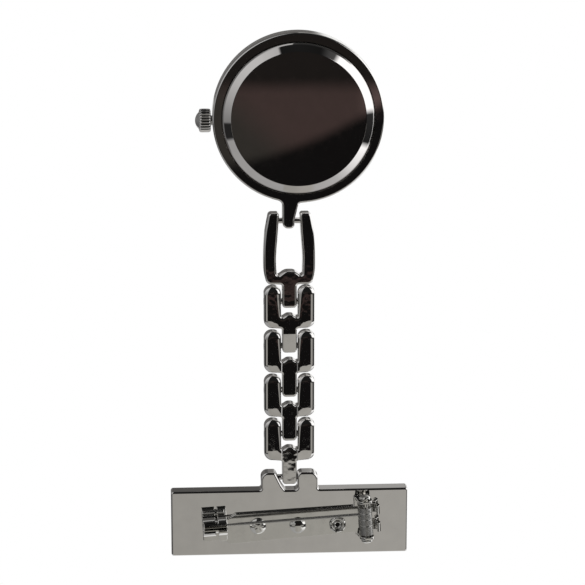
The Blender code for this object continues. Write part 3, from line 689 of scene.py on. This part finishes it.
def build_rivets():
    """Left a cross-recessed head, centre a plain dome, right a staked head."""
    head = 1.4
    foot = [(head, 0.72, 0.06), (0.7, 0.72, 0), (0.7, -1.4, 0.08), (0, -1.4, 0)]
    domes = {
        "rivet_left": [(0, 1.3, 0), (0.6, 1.27, 0.5), (1.1, 1.13, 0.4), (head, 0.9, 0.15)],
        "rivet_centre": [(0, 1.3, 0), (0.5, 1.27, 0.8), (1.05, 1.12, 0.5), (head, 0.88, 0.12)],
        "rivet_right": [
            (0, 0.98, 0), (0.42, 0.98, 0.08), (0.55, 1.14, 0.08), (0.68, 0.98, 0.08),
            (0.85, 0.98, 0.1), (1.0, 1.22, 0.12), (1.2, 1.26, 0.12), (head, 1.05, 0.12),
        ],
    }
    staked_lean = -3.5
    recess_turn = 40
    notches = 7
    for name in RIVETS:
        lean = math.radians(staked_lean if name == "rivet_right" else 0)
        place = shift(rivet_place(name)) @ Matrix.Rotation(lean, 4, "X") @ TO_Y
        piece = lathe(name + "_fine", domes[name] + foot, place, 64)
        if name == "rivet_left":
            turned = place @ Matrix.Rotation(math.radians(recess_turn), 4, "Z")
            boolean(piece, plate("recess", cross_outline(0.78, 0.17), 1.08, 1.6, 0.04, 0.04, turned))
        if name == "rivet_right":
            for i in range(notches):
                turn = Matrix.Rotation(math.tau * i / notches, 4, "Z")
                notch = place @ turn @ shift_mm(1.3, 0, 1.2)
                boolean(piece, bar_stock("notch", 0.17, 0.5, notch, 0.02, 16))
        finish(piece, "bar", name)


def strip_outline():
    """The stamped base strip: s along it, w across it."""
    return rounded([
        (-15.1, 1.9, 0.3),
        (-15.1, -3.4, 0.3),
        (-11.2, -3.4, 0.3),
        (-10.9, -1.75, 0.3),
        (-9.2, -2.62, 0.3),
        (11.3, -2.4, 0.2),
        (11.3, -4.05, 0.2),
        (14.2, -4.05, 0.2),
        (14.2, 2.95, 0.2),
        (11.3, 2.95, 0.2),
        (11.3, 2.35, 0.2),
        (-10.5, 2.7, 0.4),
        (-11.9, 1.9, 0.3),
    ])


def curl_outline():
    """The section of a stop tab that rises from the strip's end in a quarter round."""
    outside = arc(14.2, 1.6, 1.45, -90, 40)
    inside = arc(14.2, 1.6, 0.97, 40, -90, 14)
    return outside + inside


def build_strip():
    """The strip with its two hinge ears and the two curled stops behind them."""
    on_strip = FINDING @ shift_mm(0, 0.35, 0) @ UPRIGHT
    piece = plate("brooch_strip_fine", strip_outline(), -0.25, 0.25, 0.12, 0.12, on_strip)
    ear = rounded([
        (11.45, 0.2, 0),
        (14.15, 0.2, 0),
        (14.3, 2.3, 0.5),
        (14.25, 3.75, 1.15),
        (11.95, 3.75, 1.15),
        (11.75, 1.8, 0.5),
    ])
    for w in (-3.79, 2.69):
        join(piece, plate("ear", ear, -0.25, 0.25, 0.12, 0.12, FINDING @ shift_mm(0, 0, w)))
        drill(piece, 0.6, 1.2, FINDING @ shift_mm(PIVOT_S, PIVOT_H, w))
    for w in (-1.9, 1.25):
        join(piece, plate("curl", curl_outline(), -0.8, 0.8, 0.1, 0.1, FINDING @ shift_mm(0, 0, w)))
    for name in RIVETS:
        drill(piece, STRIP_HOLE_R, 2, shift(rivet_place(name)) @ TO_Y)
    finish(piece, "bar", "brooch_strip")

    headed = [(0, 3.65, 0), (0.75, 3.62, 0.2), (1.0, 3.4, 0.15), (1.0, 3.1, 0.04), (0.5, 3.1, 0)]
    headed += [(0.5, -4.2, 0), (1.0, -4.2, 0.04), (1.0, -4.5, 0.15), (0.75, -4.72, 0.2), (0, -4.75, 0)]
    pivot = lathe("needle_pivot_fine", headed, FINDING @ shift_mm(PIVOT_S, PIVOT_H, 0), 48)
    finish(pivot, "bar", "needle_pivot")


def build_needle():
    """A tapered needle whose head is rolled round the pivot."""
    reach = PIVOT_S - CATCH_S + 1.0
    radius = 0.25
    corners = [(0, reach, 0), (0.05, reach - 0.03, 0.03), (radius * 0.6, reach - 2.2, 3)]
    corners += [(radius, reach - 5.5, 3), (radius, 0.9, 0.1), (0, 0.9, 0)]
    joint = FINDING @ shift_mm(PIVOT_S, PIVOT_H, NEEDLE_W)
    piece = lathe("needle_fine", corners, joint @ Matrix.Rotation(-math.pi / 2, 4, "Y"), 32)
    roll = [(0.6, -1.2, 0.05), (1.1, -1.2, 0.15)]
    for groove in (-0.35, 0.75, 1.9):
        roll += [(1.1, groove - 0.16, 0.08), (0.98, groove, 0.05), (1.1, groove + 0.16, 0.08)]
    roll += [(1.1, 3.75, 0.15), (0.6, 3.75, 0.05)]
    join(piece, lathe("needle_roll", roll, joint, 64))
    finish(piece, "needle", "needle")


def c_ring(outer, inner, opening):
    """A ring's section with a gap at the top, of the opening angle in degrees."""
    start = 90 + opening / 2
    end = 450 - opening / 2
    end_room = 0.25
    outline = []
    for radius, first, last in ((outer, start, end), (inner, end, start)):
        ends = arc(0, 0, radius, first, last, 360)
        lead = math.copysign(math.degrees(end_room / radius), last - first)
        outline += [ends[0]] + arc(0, 0, radius, first + lead, last - lead, 7) + [ends[-1]]
    return outline


def build_catch():
    """The safety catch: an open cradle on a foot, and the slotted roller with its thumb lever."""
    axis = FINDING @ shift_mm(CATCH_S, PIVOT_H, NEEDLE_W)
    cradle_place = axis @ shift_mm(-1.05, 0, 0) @ TO_X
    cradle = plate("catch_base_fine", c_ring(1.78, 1.4, 80), -1.1, 1.1, 0.08, 0.08, cradle_place)
    foot = rounded([(-1.1, -1.45, 0.25), (1.1, -1.45, 0.25), (1.1, 1.45, 0.25), (-1.1, 1.45, 0.25)])
    foot_place = FINDING @ shift_mm(CATCH_S - 1.05, 0.88, NEEDLE_W) @ UPRIGHT
    join(cradle, plate("catch_foot", foot, -0.2, 0.2, 0.08, 0.08, foot_place))
    finish(cradle, "bar", "catch_base")

    slot_half = math.degrees(math.asin(0.55 / 1.3))
    section = c_ring(1.3, 0.68, 2 * slot_half)
    roller_place = axis @ shift_mm(0.05, 0, 0) @ TO_X
    roller = plate("catch_roller_fine", section, -2.05, 2.05, 0.12, 0.12, roller_place)
    collar_place = axis @ shift_mm(1.25, 0, 0) @ TO_X
    join(roller, plate("collar", c_ring(1.75, 0.9, 62), -0.8, 0.8, 0.15, 0.15, collar_place))
    tilt = Matrix.Rotation(math.radians(18), 4, "X")
    lever = rounded([(-0.75, -0.9, 0.1), (0.75, -0.9, 0.1), (0.75, 1.0, 0.5), (-0.75, 1.0, 0.5)])
    lever_place = axis @ tilt @ shift_mm(1.25, 0, 2.2) @ UPRIGHT
    join(roller, plate("lever", lever, -0.25, 0.25, 0.12, 0.12, lever_place))
    finish(roller, "catch_roller", "catch_roller")


# ---------------------------------------------------------------- case

CASE_R = 14.42


def case_slab_outline(pin_x, pin_y):
    """The case's circle with the lug that grows out of it, drawn about the case's centre."""
    right_start = 1.6
    left_end = -4.3
    first = math.degrees(math.atan2(math.sqrt(CASE_R ** 2 - left_end ** 2), left_end))
    last = 360 + math.degrees(math.atan2(math.sqrt(CASE_R ** 2 - right_start ** 2), right_start))
    tip = pin_y + 1.2
    lug = [
        (0.12, 14.47, 0.5),
        (-0.2, 15.6, 1.2),
        (pin_x + 0.85, pin_y - 0.3, 1.5),
        (pin_x + 0.85, tip, 0.98),
        (pin_x - 1.2, tip, 0.98),
        (pin_x - 1.2, 14.2, 1.1),
    ]
    return rounded([(x, y, 0) for x, y in arc(0, 0, CASE_R, first, last, 1.5)] + lug)


def build_case_body():
    """The case middle: its bezel lip and ledges are turned, and its back rim flows into the lug."""
    wall = CASE_R - 0.02
    corners = [
        (wall - 0.3, 1.6, 0),
        (wall, 1.3, 0),
        (wall, 0.05, 0.01),
        (wall, -1.4, 2.5),
        (wall - 0.53, -4.1, 0.9),
        (13.3, -4.75, 0.25),
        (12.95, -4.75, 0.12),
        (12.95, -3.55, 0),
        (11.55, -3.55, 0),
        (11.55, -3.15, 0),
        (12.15, -3.15, 0),
        (12.15, 1.6, 0),
    ]
    piece = lathe("case_body_fine", corners, CASE @ TO_Y, CASE_TURN_STEPS)
    pin_x = (CASE_PIN.x - CASE_CENTRE.x) / MM
    pin_y = (CASE_PIN.z - CASE_CENTRE.z) / MM
    slab_centre = Vector((CASE_CENTRE.x, CHAIN_Y, CASE_CENTRE.z))
    outline = case_slab_outline(pin_x, pin_y)
    slab = plate("slab", outline, -THICK / 2, THICK / 2, 0.3, 0.3, shift(slab_centre) @ UPRIGHT)
    rebate = [(0, 3, 0), (13.1, 3, 0), (12.95, 2.42, 0), (12.85, 2.28, 0), (12.85, -1, 0), (0, -1, 0)]
    # Other steps and a small turn keep the rebate's edges off the turned body's
    rebate_steps = 230
    off_grid = Matrix.Rotation(0.004, 4, "Z")
    boolean(slab, lathe("rebate", rebate, CASE @ TO_Y @ off_grid, rebate_steps))
    join(piece, slab)
    drill(piece, PIN_HOLE_R, 8, shift(CASE_PIN) @ TO_X)
    stem = joint_at("crown_turn")
    drill(piece, 1.0, 4, shift(Vector((CASE_CENTRE.x - 13.3 * MM, stem.y, stem.z))) @ TO_X)
    finish(piece, "case", "case_body")


def build_back_and_glass():
    back = [
        (0, 3.3, 0),
        (11.35, 3.3, 0.1),
        (12.5, 2.66, 0.1),
        (12.7, 2.45, 0.06),
        (12.7, 1.95, 0.05),
        (12.0, 1.95, 0),
        (12.0, 1.25, 0),
        (11.5, 1.25, 0),
        (11.5, 2.5, 0),
        (0, 2.5, 0),
    ]
    finish(lathe("case_back_fine", back, CASE @ TO_Y, CASE_TURN_STEPS), "case", "case_back")
    glass = [
        (0, -3.65, 0),
        (12.6, -3.65, 0.05),
        (12.6, -4.6, 0.1),
        (12.3, -4.82, 0.3),
        (7.5, -4.95, 12),
        (0, -5.0, 0),
    ]
    finish(lathe("crystal_fine", glass, CASE @ TO_Y, DIAL_TURN_STEPS), "case", "crystal")
    seal = [(12.88, -3.65, 0), (12.88, -4.5, 0.05), (12.68, -4.5, 0.05), (12.68, -3.65, 0)]
    finish(lathe("crystal_gasket_fine", seal, CASE @ TO_Y, DIAL_TURN_STEPS), "case", "crystal_gasket")


def build_crown():
    """The fluted crown: its flutes fade out into a smooth domed cap."""
    stem = joint_at("crown_turn")
    place = shift(Vector((CASE_CENTRE.x, stem.y, stem.z))) @ Matrix.Rotation(-math.pi / 2, 4, "Y")
    flutes = 24
    per_flute = 8
    # Radius, height and depth of the flutes
    levels = [
        (1.4, 14.9, 0), (1.4, 14.64, 0), (1.62, 14.62, 0.02), (1.86, 14.68, 0.1),
        (1.97, 14.85, 0.2), (2.0, 15.05, 0.22), (2.0, 16.1, 0.22), (1.98, 16.3, 0.18),
        (1.92, 16.44, 0.08), (1.84, 16.52, 0.0), (1.76, 16.56, 0.0),
    ]
    levels += [(r, h, 0) for r, h in arc(0, 15.35, 1.9, 42, 87, 6)]
    work = bmesh.new()
    rings = []
    for radius, height, depth in levels:
        verts = []
        for i in range(flutes * per_flute):
            angle = math.tau * i / (flutes * per_flute)
            r = radius - depth * (0.5 - 0.5 * math.cos(flutes * angle)) ** 2
            verts.append(work.verts.new((r * math.cos(angle), r * math.sin(angle), height)))
        rings.append(verts)
    socket = [work.verts.new((0, 0, 14.9))]
    top = [work.verts.new((0, 0, levels[-1][1] + 0.002))]
    bridge(work, [socket] + rings + [top])
    piece = make_piece("crown_fine", work, place)
    drill(piece, 1.4, 2.6, place @ shift_mm(0, 0, 14.95))
    finish(piece, "crown", "crown")


# ---------------------------------------------------------------- dial and hands

DIAL_FACE = -2.3
DIAL_VIEW = CASE @ Matrix(((-1, 0, 0), (0, 0, -1), (0, -1, 0))).to_4x4()


def dial_place(clock_degrees, radius):
    """A point of the dial in its own view, where 12 is up and 3 is right."""
    angle = math.radians(clock_degrees)
    return radius * math.sin(angle), radius * math.cos(angle)


def number_mesh(text, size, x, y, height):
    """One printed number as a thin solid, drawn in the dial's view."""
    curve = bpy.data.curves.new("number", "FONT")
    curve.body = text
    curve.size = size
    curve.align_x = "CENTER"
    curve.align_y = "CENTER"
    curve.extrude = 0.012
    curve.resolution_u = 5
    guide = bpy.data.objects.new("number", curve)
    LOOKS.objects.link(guide)
    guide.matrix_world = Matrix.Translation((x, y, height))
    bpy.context.view_layer.update()
    mesh = bpy.data.meshes.new_from_object(guide.evaluated_get(bpy.context.evaluated_depsgraph_get()))
    mesh.transform(guide.matrix_world)
    bpy.data.objects.remove(guide, do_unlink=True)
    bpy.data.curves.remove(curve)
    return mesh


def print_piece(name, meshes, matrix):
    work = bmesh.new()
    for mesh in meshes:
        work.from_mesh(mesh)
        bpy.data.meshes.remove(mesh)
    bmesh.ops.remove_doubles(work, verts=work.verts, dist=0.0005)
    return make_piece(name, work, matrix)


def track(name, count, skip, inner, outer, width, height, look):
    """Radial bars of a minute track."""
    work = bmesh.new()
    for i in range(count):
        if skip and i % skip == 0:
            continue
        middle = (inner + outer) / 2
        turn = Matrix.Rotation(-math.tau * i / count, 4, "Z") @ Matrix.Translation((0, middle, height))
        size = Matrix.Diagonal((width, outer - inner, 0.024, 1))
        bmesh.ops.create_cube(work, size=1, matrix=turn @ size)
    finish(make_piece(name, work, DIAL_VIEW), "case", look=look)


def build_dial():
    """The enamel dial, its sloping chapter ring, printed hours, 24-hour numbers and minute track."""
    disc = [(12.0, -2.0, 0), (12.0, DIAL_FACE, 0.05), (0.95, DIAL_FACE, 0.05), (0.95, -2.0, 0)]
    finish(lathe("dial_fine", disc, CASE @ TO_Y, DIAL_TURN_STEPS), "case", "dial")
    ring = [(12.0, -2.4, 0), (12.0, -3.05, 0.04), (11.4, -3.05, 0.06), (10.9, -2.4, 0.02)]
    finish(lathe("dial_ring_fine", ring, CASE @ TO_Y, DIAL_TURN_STEPS), "case", "dial_ring")
    ink = -DIAL_FACE + 0.012
    hours = []
    small = []
    for hour in range(1, 13):
        x, y = dial_place(hour * 30, 8.25)
        hours.append(number_mesh(str(hour), 2.7, x, y, ink))
        x, y = dial_place(hour * 30, 5.5)
        small.append(number_mesh(str(hour + 12), 1.2, x, y, ink))
    finish(print_piece("hour_numbers", hours, DIAL_VIEW), "case", look="hand_lacquer")
    finish(print_piece("day_numbers", small, DIAL_VIEW), "case", look="second_lacquer")
    track("minute_track", 60, 5, 10.15, 10.75, 0.1, ink, "hand_lacquer")
    track("hour_track", 12, 0, 9.95, 10.8, 0.3, ink, "hand_lacquer")


def hand_outline(length, tail, width, tip):
    """A tapered hand along +Y with a round hub."""
    half = width / 2
    hub = half + 0.55
    side = math.sqrt(hub ** 2 - half ** 2)
    start = math.degrees(math.atan2(-side, half))
    right = [(half * 0.75, -tail, 0.1)]
    right += [(x, y, 0) for x, y in arc(0, 0, hub, start, -start)]
    right += [(half, hub + 0.5, 0), (half, length * 0.72, 0.5), (tip / 2, length, 0.05)]
    return rounded(mirrored(right))


def build_hand(node, length, tail, width, tip, hole, thick, clock_degrees):
    low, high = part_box(node)
    level = (CASE_CENTRE.y - (low.y + high.y) / 2) / MM
    turn = Matrix.Rotation(-math.radians(clock_degrees), 4, "Z")
    place = DIAL_VIEW @ turn @ shift_mm(0, 0, level)
    outline = hand_outline(length, tail, width, tip)
    piece = plate(node + "_fine", outline, -thick / 2, thick / 2, 0.02, 0.04, place)
    drill(piece, hole, 1, place)
    finish(piece, node, node)


def build_hands():
    """The hands at 10:09:35, as in the frame."""
    build_hand("hour_hand", 6.2, 1.6, 0.9, 0.35, 0.78, 0.14, (10 + 9 / 60) * 30)
    build_hand("minute_hand", 9.4, 1.8, 0.7, 0.3, 0.46, 0.14, 9 * 6)
    build_hand("second_hand", 9.9, 3.0, 0.28, 0.14, 0.18, 0.1, 35 * 6)


# ---------------------------------------------------------------- frame nodes that stay

def paint_frame_nodes():
    """Every CAD node that still shows takes the full material of its slot."""
    for name, node in frame["nodes"].items():
        if node.hide_render:
            continue
        for slot in node.material_slots:
            slot.material = MATERIALS[NODE_SLOTS[name]]


# ---------------------------------------------------------------- studio

def build_floor():
    """A wide pale floor well below the hanging watch."""
    below = 0.085
    side = 6.0
    work = bmesh.new()
    bmesh.ops.create_grid(work, x_segments=8, y_segments=8, size=side / 2)
    mesh = bpy.data.meshes.new("floor")
    work.to_mesh(mesh)
    work.free()
    floor = bpy.data.objects.new("floor", mesh)
    LOOKS.objects.link(floor)
    floor.location = (0, 0, CAD_BOX[0].z - below)
    material, nodes, shader, coordinates = surface("floor_paint")
    nodes.link(tinted(nodes, coordinates, grey(0.84), 0.01, 4), shader.inputs["Base Color"])
    shader.inputs["Roughness"].default_value = 0.9
    shader.inputs["Specular IOR Level"].default_value = 0.1
    mesh.materials.append(material)
    floor.visible_glossy = False


def sky_profile(nodes, elevation, stops):
    """A grey for each elevation, from (degrees, brightness) stops."""
    height = nodes.math("DIVIDE", nodes.math("ADD", elevation, 90.0), 180.0)
    return nodes.ramp(height, [((degrees + 90) / 180, grey(value)) for degrees, value in stops])


def inverse(nodes, value):
    return nodes.math("SUBTRACT", 1.0, value)


def back_middle(nodes, x, z):
    """What a mirror facing the back sees: a dark brown room, a black flag, and a grey card above."""
    # The case's back mirrors this patch of the room, and across and down run from -1 to 1 over it
    patch_x = 0.063
    patch_z = 0.173
    patch_scale = 38.5
    brown_dark = (0.057, 0.039, 0.036, 1)
    brown_light = (0.115, 0.078, 0.073, 1)
    neutral = (0.036, 0.033, 0.029, 1)
    black_high = (0.014, 0.012, 0.011, 1)
    black_low = (0.0065, 0.006, 0.006, 1)
    band_brown = (0.042, 0.028, 0.026, 1)
    card_left = (0.365, 0.356, 0.332, 1)
    card_right = (0.42, 0.41, 0.385, 1)
    across = nodes.math("MULTIPLY", nodes.math("SUBTRACT", x, patch_x), patch_scale)
    down = nodes.math("MULTIPLY", nodes.math("SUBTRACT", z, patch_z), patch_scale)
    steepness = nodes.math("ADD", nodes.math("MULTIPLY", across, 0.097), 0.374)
    bow = nodes.math("MULTIPLY", steepness, across)
    flag = nodes.ease(nodes.math("ADD", down, bow), 0.2, 0.42)
    brown = nodes.math("MULTIPLY", nodes.ease(down, -0.68, -0.4), inverse(nodes, flag))
    warm = nodes.mix(nodes.ease(across, 0.8, 1.15), brown_dark, brown_light)
    low_left = nodes.ease(nodes.math("SUBTRACT", down, across), 0.2, 1.1)
    warm = nodes.mix(low_left, warm, neutral)
    black = nodes.mix(nodes.ease(down, -0.8, 0.0), black_high, black_low)
    shown = nodes.mix(brown, black, warm)
    second = nodes.math("MULTIPLY", nodes.ease(down, 2.1, 2.4), nodes.ease(down, 2.6, 2.45))
    shown = nodes.mix(second, shown, band_brown)
    card = nodes.mix(nodes.ease(x, -0.02, 0.12), card_left, card_right)
    return nodes.mix(nodes.ease(z, 0.2985, 0.3005), shown, card)


def front_middle(nodes, x, z):
    """What a mirror facing the front sees: greys, with a white card to the right."""
    dark_grey = (0.15, 0.145, 0.14, 1)
    below_left = (0.1, 0.097, 0.094, 1)
    below_middle = (0.19, 0.185, 0.18, 1)
    below_right = (0.39, 0.385, 0.375, 1)
    card_white = (0.95, 0.95, 0.94, 1)
    mid_grey = (0.62, 0.62, 0.61, 1)
    light_grey = (0.85, 0.85, 0.85, 1)
    below = nodes.mix(nodes.ease(x, 0.057, 0.069), below_middle, below_right)
    below = nodes.mix(nodes.ease(x, 0.046, 0.05), below_left, below)
    shown = nodes.mix(nodes.ease(z, -0.2, -0.27), dark_grey, below)
    card = nodes.math("MULTIPLY", nodes.ease(x, 0.1, 0.15), nodes.ease(z, -0.14, -0.07))
    card = nodes.math("MULTIPLY", card, nodes.ease(z, 0.17, 0.12))
    shown = nodes.mix(card, shown, card_white)
    narrow = nodes.ease(nodes.math("ABSOLUTE", x), 0.11, 0.08)
    inside = nodes.math("MULTIPLY", narrow, nodes.ease(z, -0.13, 0.1))
    shown = nodes.mix(inside, shown, mid_grey)
    return nodes.mix(nodes.ease(z, 0.25, 0.5), shown, light_grey)


def build_world():
    """A white studio to the eye and for soft light. Polished metal sees cards and dark flags."""
    band_grey = (0.36, 0.35, 0.33, 1)
    soft_light = (0.82, 0.82, 0.83, 1)
    backdrop = (1.0, 1.0, 1.0, 1)
    world = bpy.data.worlds.new("studio")
    bpy.context.scene.world = world
    world.use_nodes = True
    nodes = Nodes(world.node_tree)
    background = world.node_tree.nodes["Background"]
    direction = nodes.add("ShaderNodeTexCoord").outputs["Generated"]
    parts = nodes.add("ShaderNodeSeparateXYZ")
    nodes.link(direction, parts.inputs[0])
    x, y, z = parts.outputs
    elevation = nodes.math("DEGREES", nodes.math("ARCSINE", z))
    azimuth = nodes.math("DEGREES", nodes.math("ARCTAN2", x, y))
    side = nodes.math("ABSOLUTE", azimuth)

    low_back = sky_profile(nodes, elevation, [
        (-90, 0.05), (-60, 0.02), (-46, 0.01), (-20, 0.012), (90, 0.012),
    ])
    right = sky_profile(nodes, elevation, [
        (-48, 0.03), (-38, 0.08), (-35, 1.35), (3, 1.35), (7, 0.03), (26, 0.015), (30, 1.25),
        (45, 0.82), (55, 0.52), (65, 0.46), (90, 0.42),
    ])
    left = sky_profile(nodes, elevation, [
        (-50, 0.5), (-38, 0.62), (-28, 0.615), (-16, 0.53), (-3, 0.4), (8, 0.27), (11.5, 0.24),
        (12.8, 0.02), (23, 0.02), (25.5, 0.385), (90, 0.42),
    ])
    boxes = sky_profile(nodes, elevation, [
        (-45, 0.1), (-38, 1.3), (30, 1.35), (36, 0.25), (50, 0.9), (90, 0.9),
    ])
    left_far = sky_profile(nodes, elevation, [
        (-60, 0.1), (-30, 0.16), (0, 0.2), (25, 0.12), (32, 0.1), (40, 0.35), (90, 0.4),
    ])
    middle = nodes.mix(nodes.ease(elevation, 2.0, 5.0), low_back, back_middle(nodes, x, z))
    shown = nodes.mix(nodes.ease(azimuth, 28.0, 38.0), middle, right)
    shown = nodes.mix(nodes.ease(azimuth, -14.5, -18.0), shown, left)
    near = nodes.math("MULTIPLY", nodes.ease(side, 17.0, 20.0), nodes.ease(side, 44.0, 36.0))
    near = nodes.math("MULTIPLY", near, nodes.ease(elevation, 11.0, 13.0))
    near = nodes.math("MULTIPLY", near, nodes.ease(elevation, 21.0, 18.5))
    shown = nodes.mix(near, shown, band_grey)
    shown = nodes.mix(nodes.ease(azimuth, 80.0, 100.0), shown, boxes)
    shown = nodes.mix(nodes.ease(azimuth, -70.0, -85.0), shown, left_far)
    shown = nodes.mix(nodes.ease(side, 145.0, 155.0), shown, front_middle(nodes, x, z))

    path = nodes.add("ShaderNodeLightPath")
    seen = nodes.mix(path.outputs["Is Glossy Ray"], soft_light, shown)
    seen = nodes.mix(path.outputs["Is Camera Ray"], seen, backdrop)
    nodes.link(seen, background.inputs["Color"])


def build_lights():
    """Two wide soft lamps, out of the mirrors' sight."""
    watts = 5
    for name, place in (("lamp_back", (0.35, 0.6, 0.55)), ("lamp_front", (-0.4, -0.6, 0.5))):
        light = bpy.data.lights.new(name, "AREA")
        light.size = 0.6
        light.energy = watts
        lamp = bpy.data.objects.new(name, light)
        LOOKS.objects.link(lamp)
        lamp.location = place
        lamp.rotation_euler = (-Vector(place)).to_track_quat("-Z", "Y").to_euler()
        lamp.visible_glossy = False
        lamp.visible_camera = False


def build_camera():
    """Behind the watch and below it, turned upside down, so that the case is up and the bar down."""
    middle = (CAD_BOX[0] + CAD_BOX[1]) / 2
    aim = Vector((middle.x + 0.55 * MM, -1.0 * MM, middle.z - 0.99 * MM))
    distance = 0.4464
    around = math.radians(-3.51)
    rise = math.radians(-13.64)
    level = math.cos(rise)
    away = Vector((math.sin(around) * level, math.cos(around) * level, math.sin(rise)))
    forward = -away
    up = Vector((0, 0, -1))
    up = (up - forward * up.dot(forward)).normalized()
    sideways = forward.cross(up)
    lens = bpy.data.cameras.new("camera")
    lens.lens = 161.6
    lens.sensor_width = 36
    lens.clip_start = 0.01
    camera = bpy.data.objects.new("camera", lens)
    LOOKS.objects.link(camera)
    turned = Matrix((sideways, up, -forward)).transposed().to_4x4()
    camera.matrix_world = shift(aim + away * distance) @ turned
    bpy.context.scene.camera = camera
    bpy.context.scene.view_settings.view_transform = "Standard"


build_camera()
build_links()
build_long_link()
build_bar()
build_rivets()
build_strip()
build_needle()
build_catch()
build_case_body()
build_back_and_glass()
build_crown()
build_dial()
build_hands()
paint_frame_nodes()
build_floor()
build_world()
build_lights()
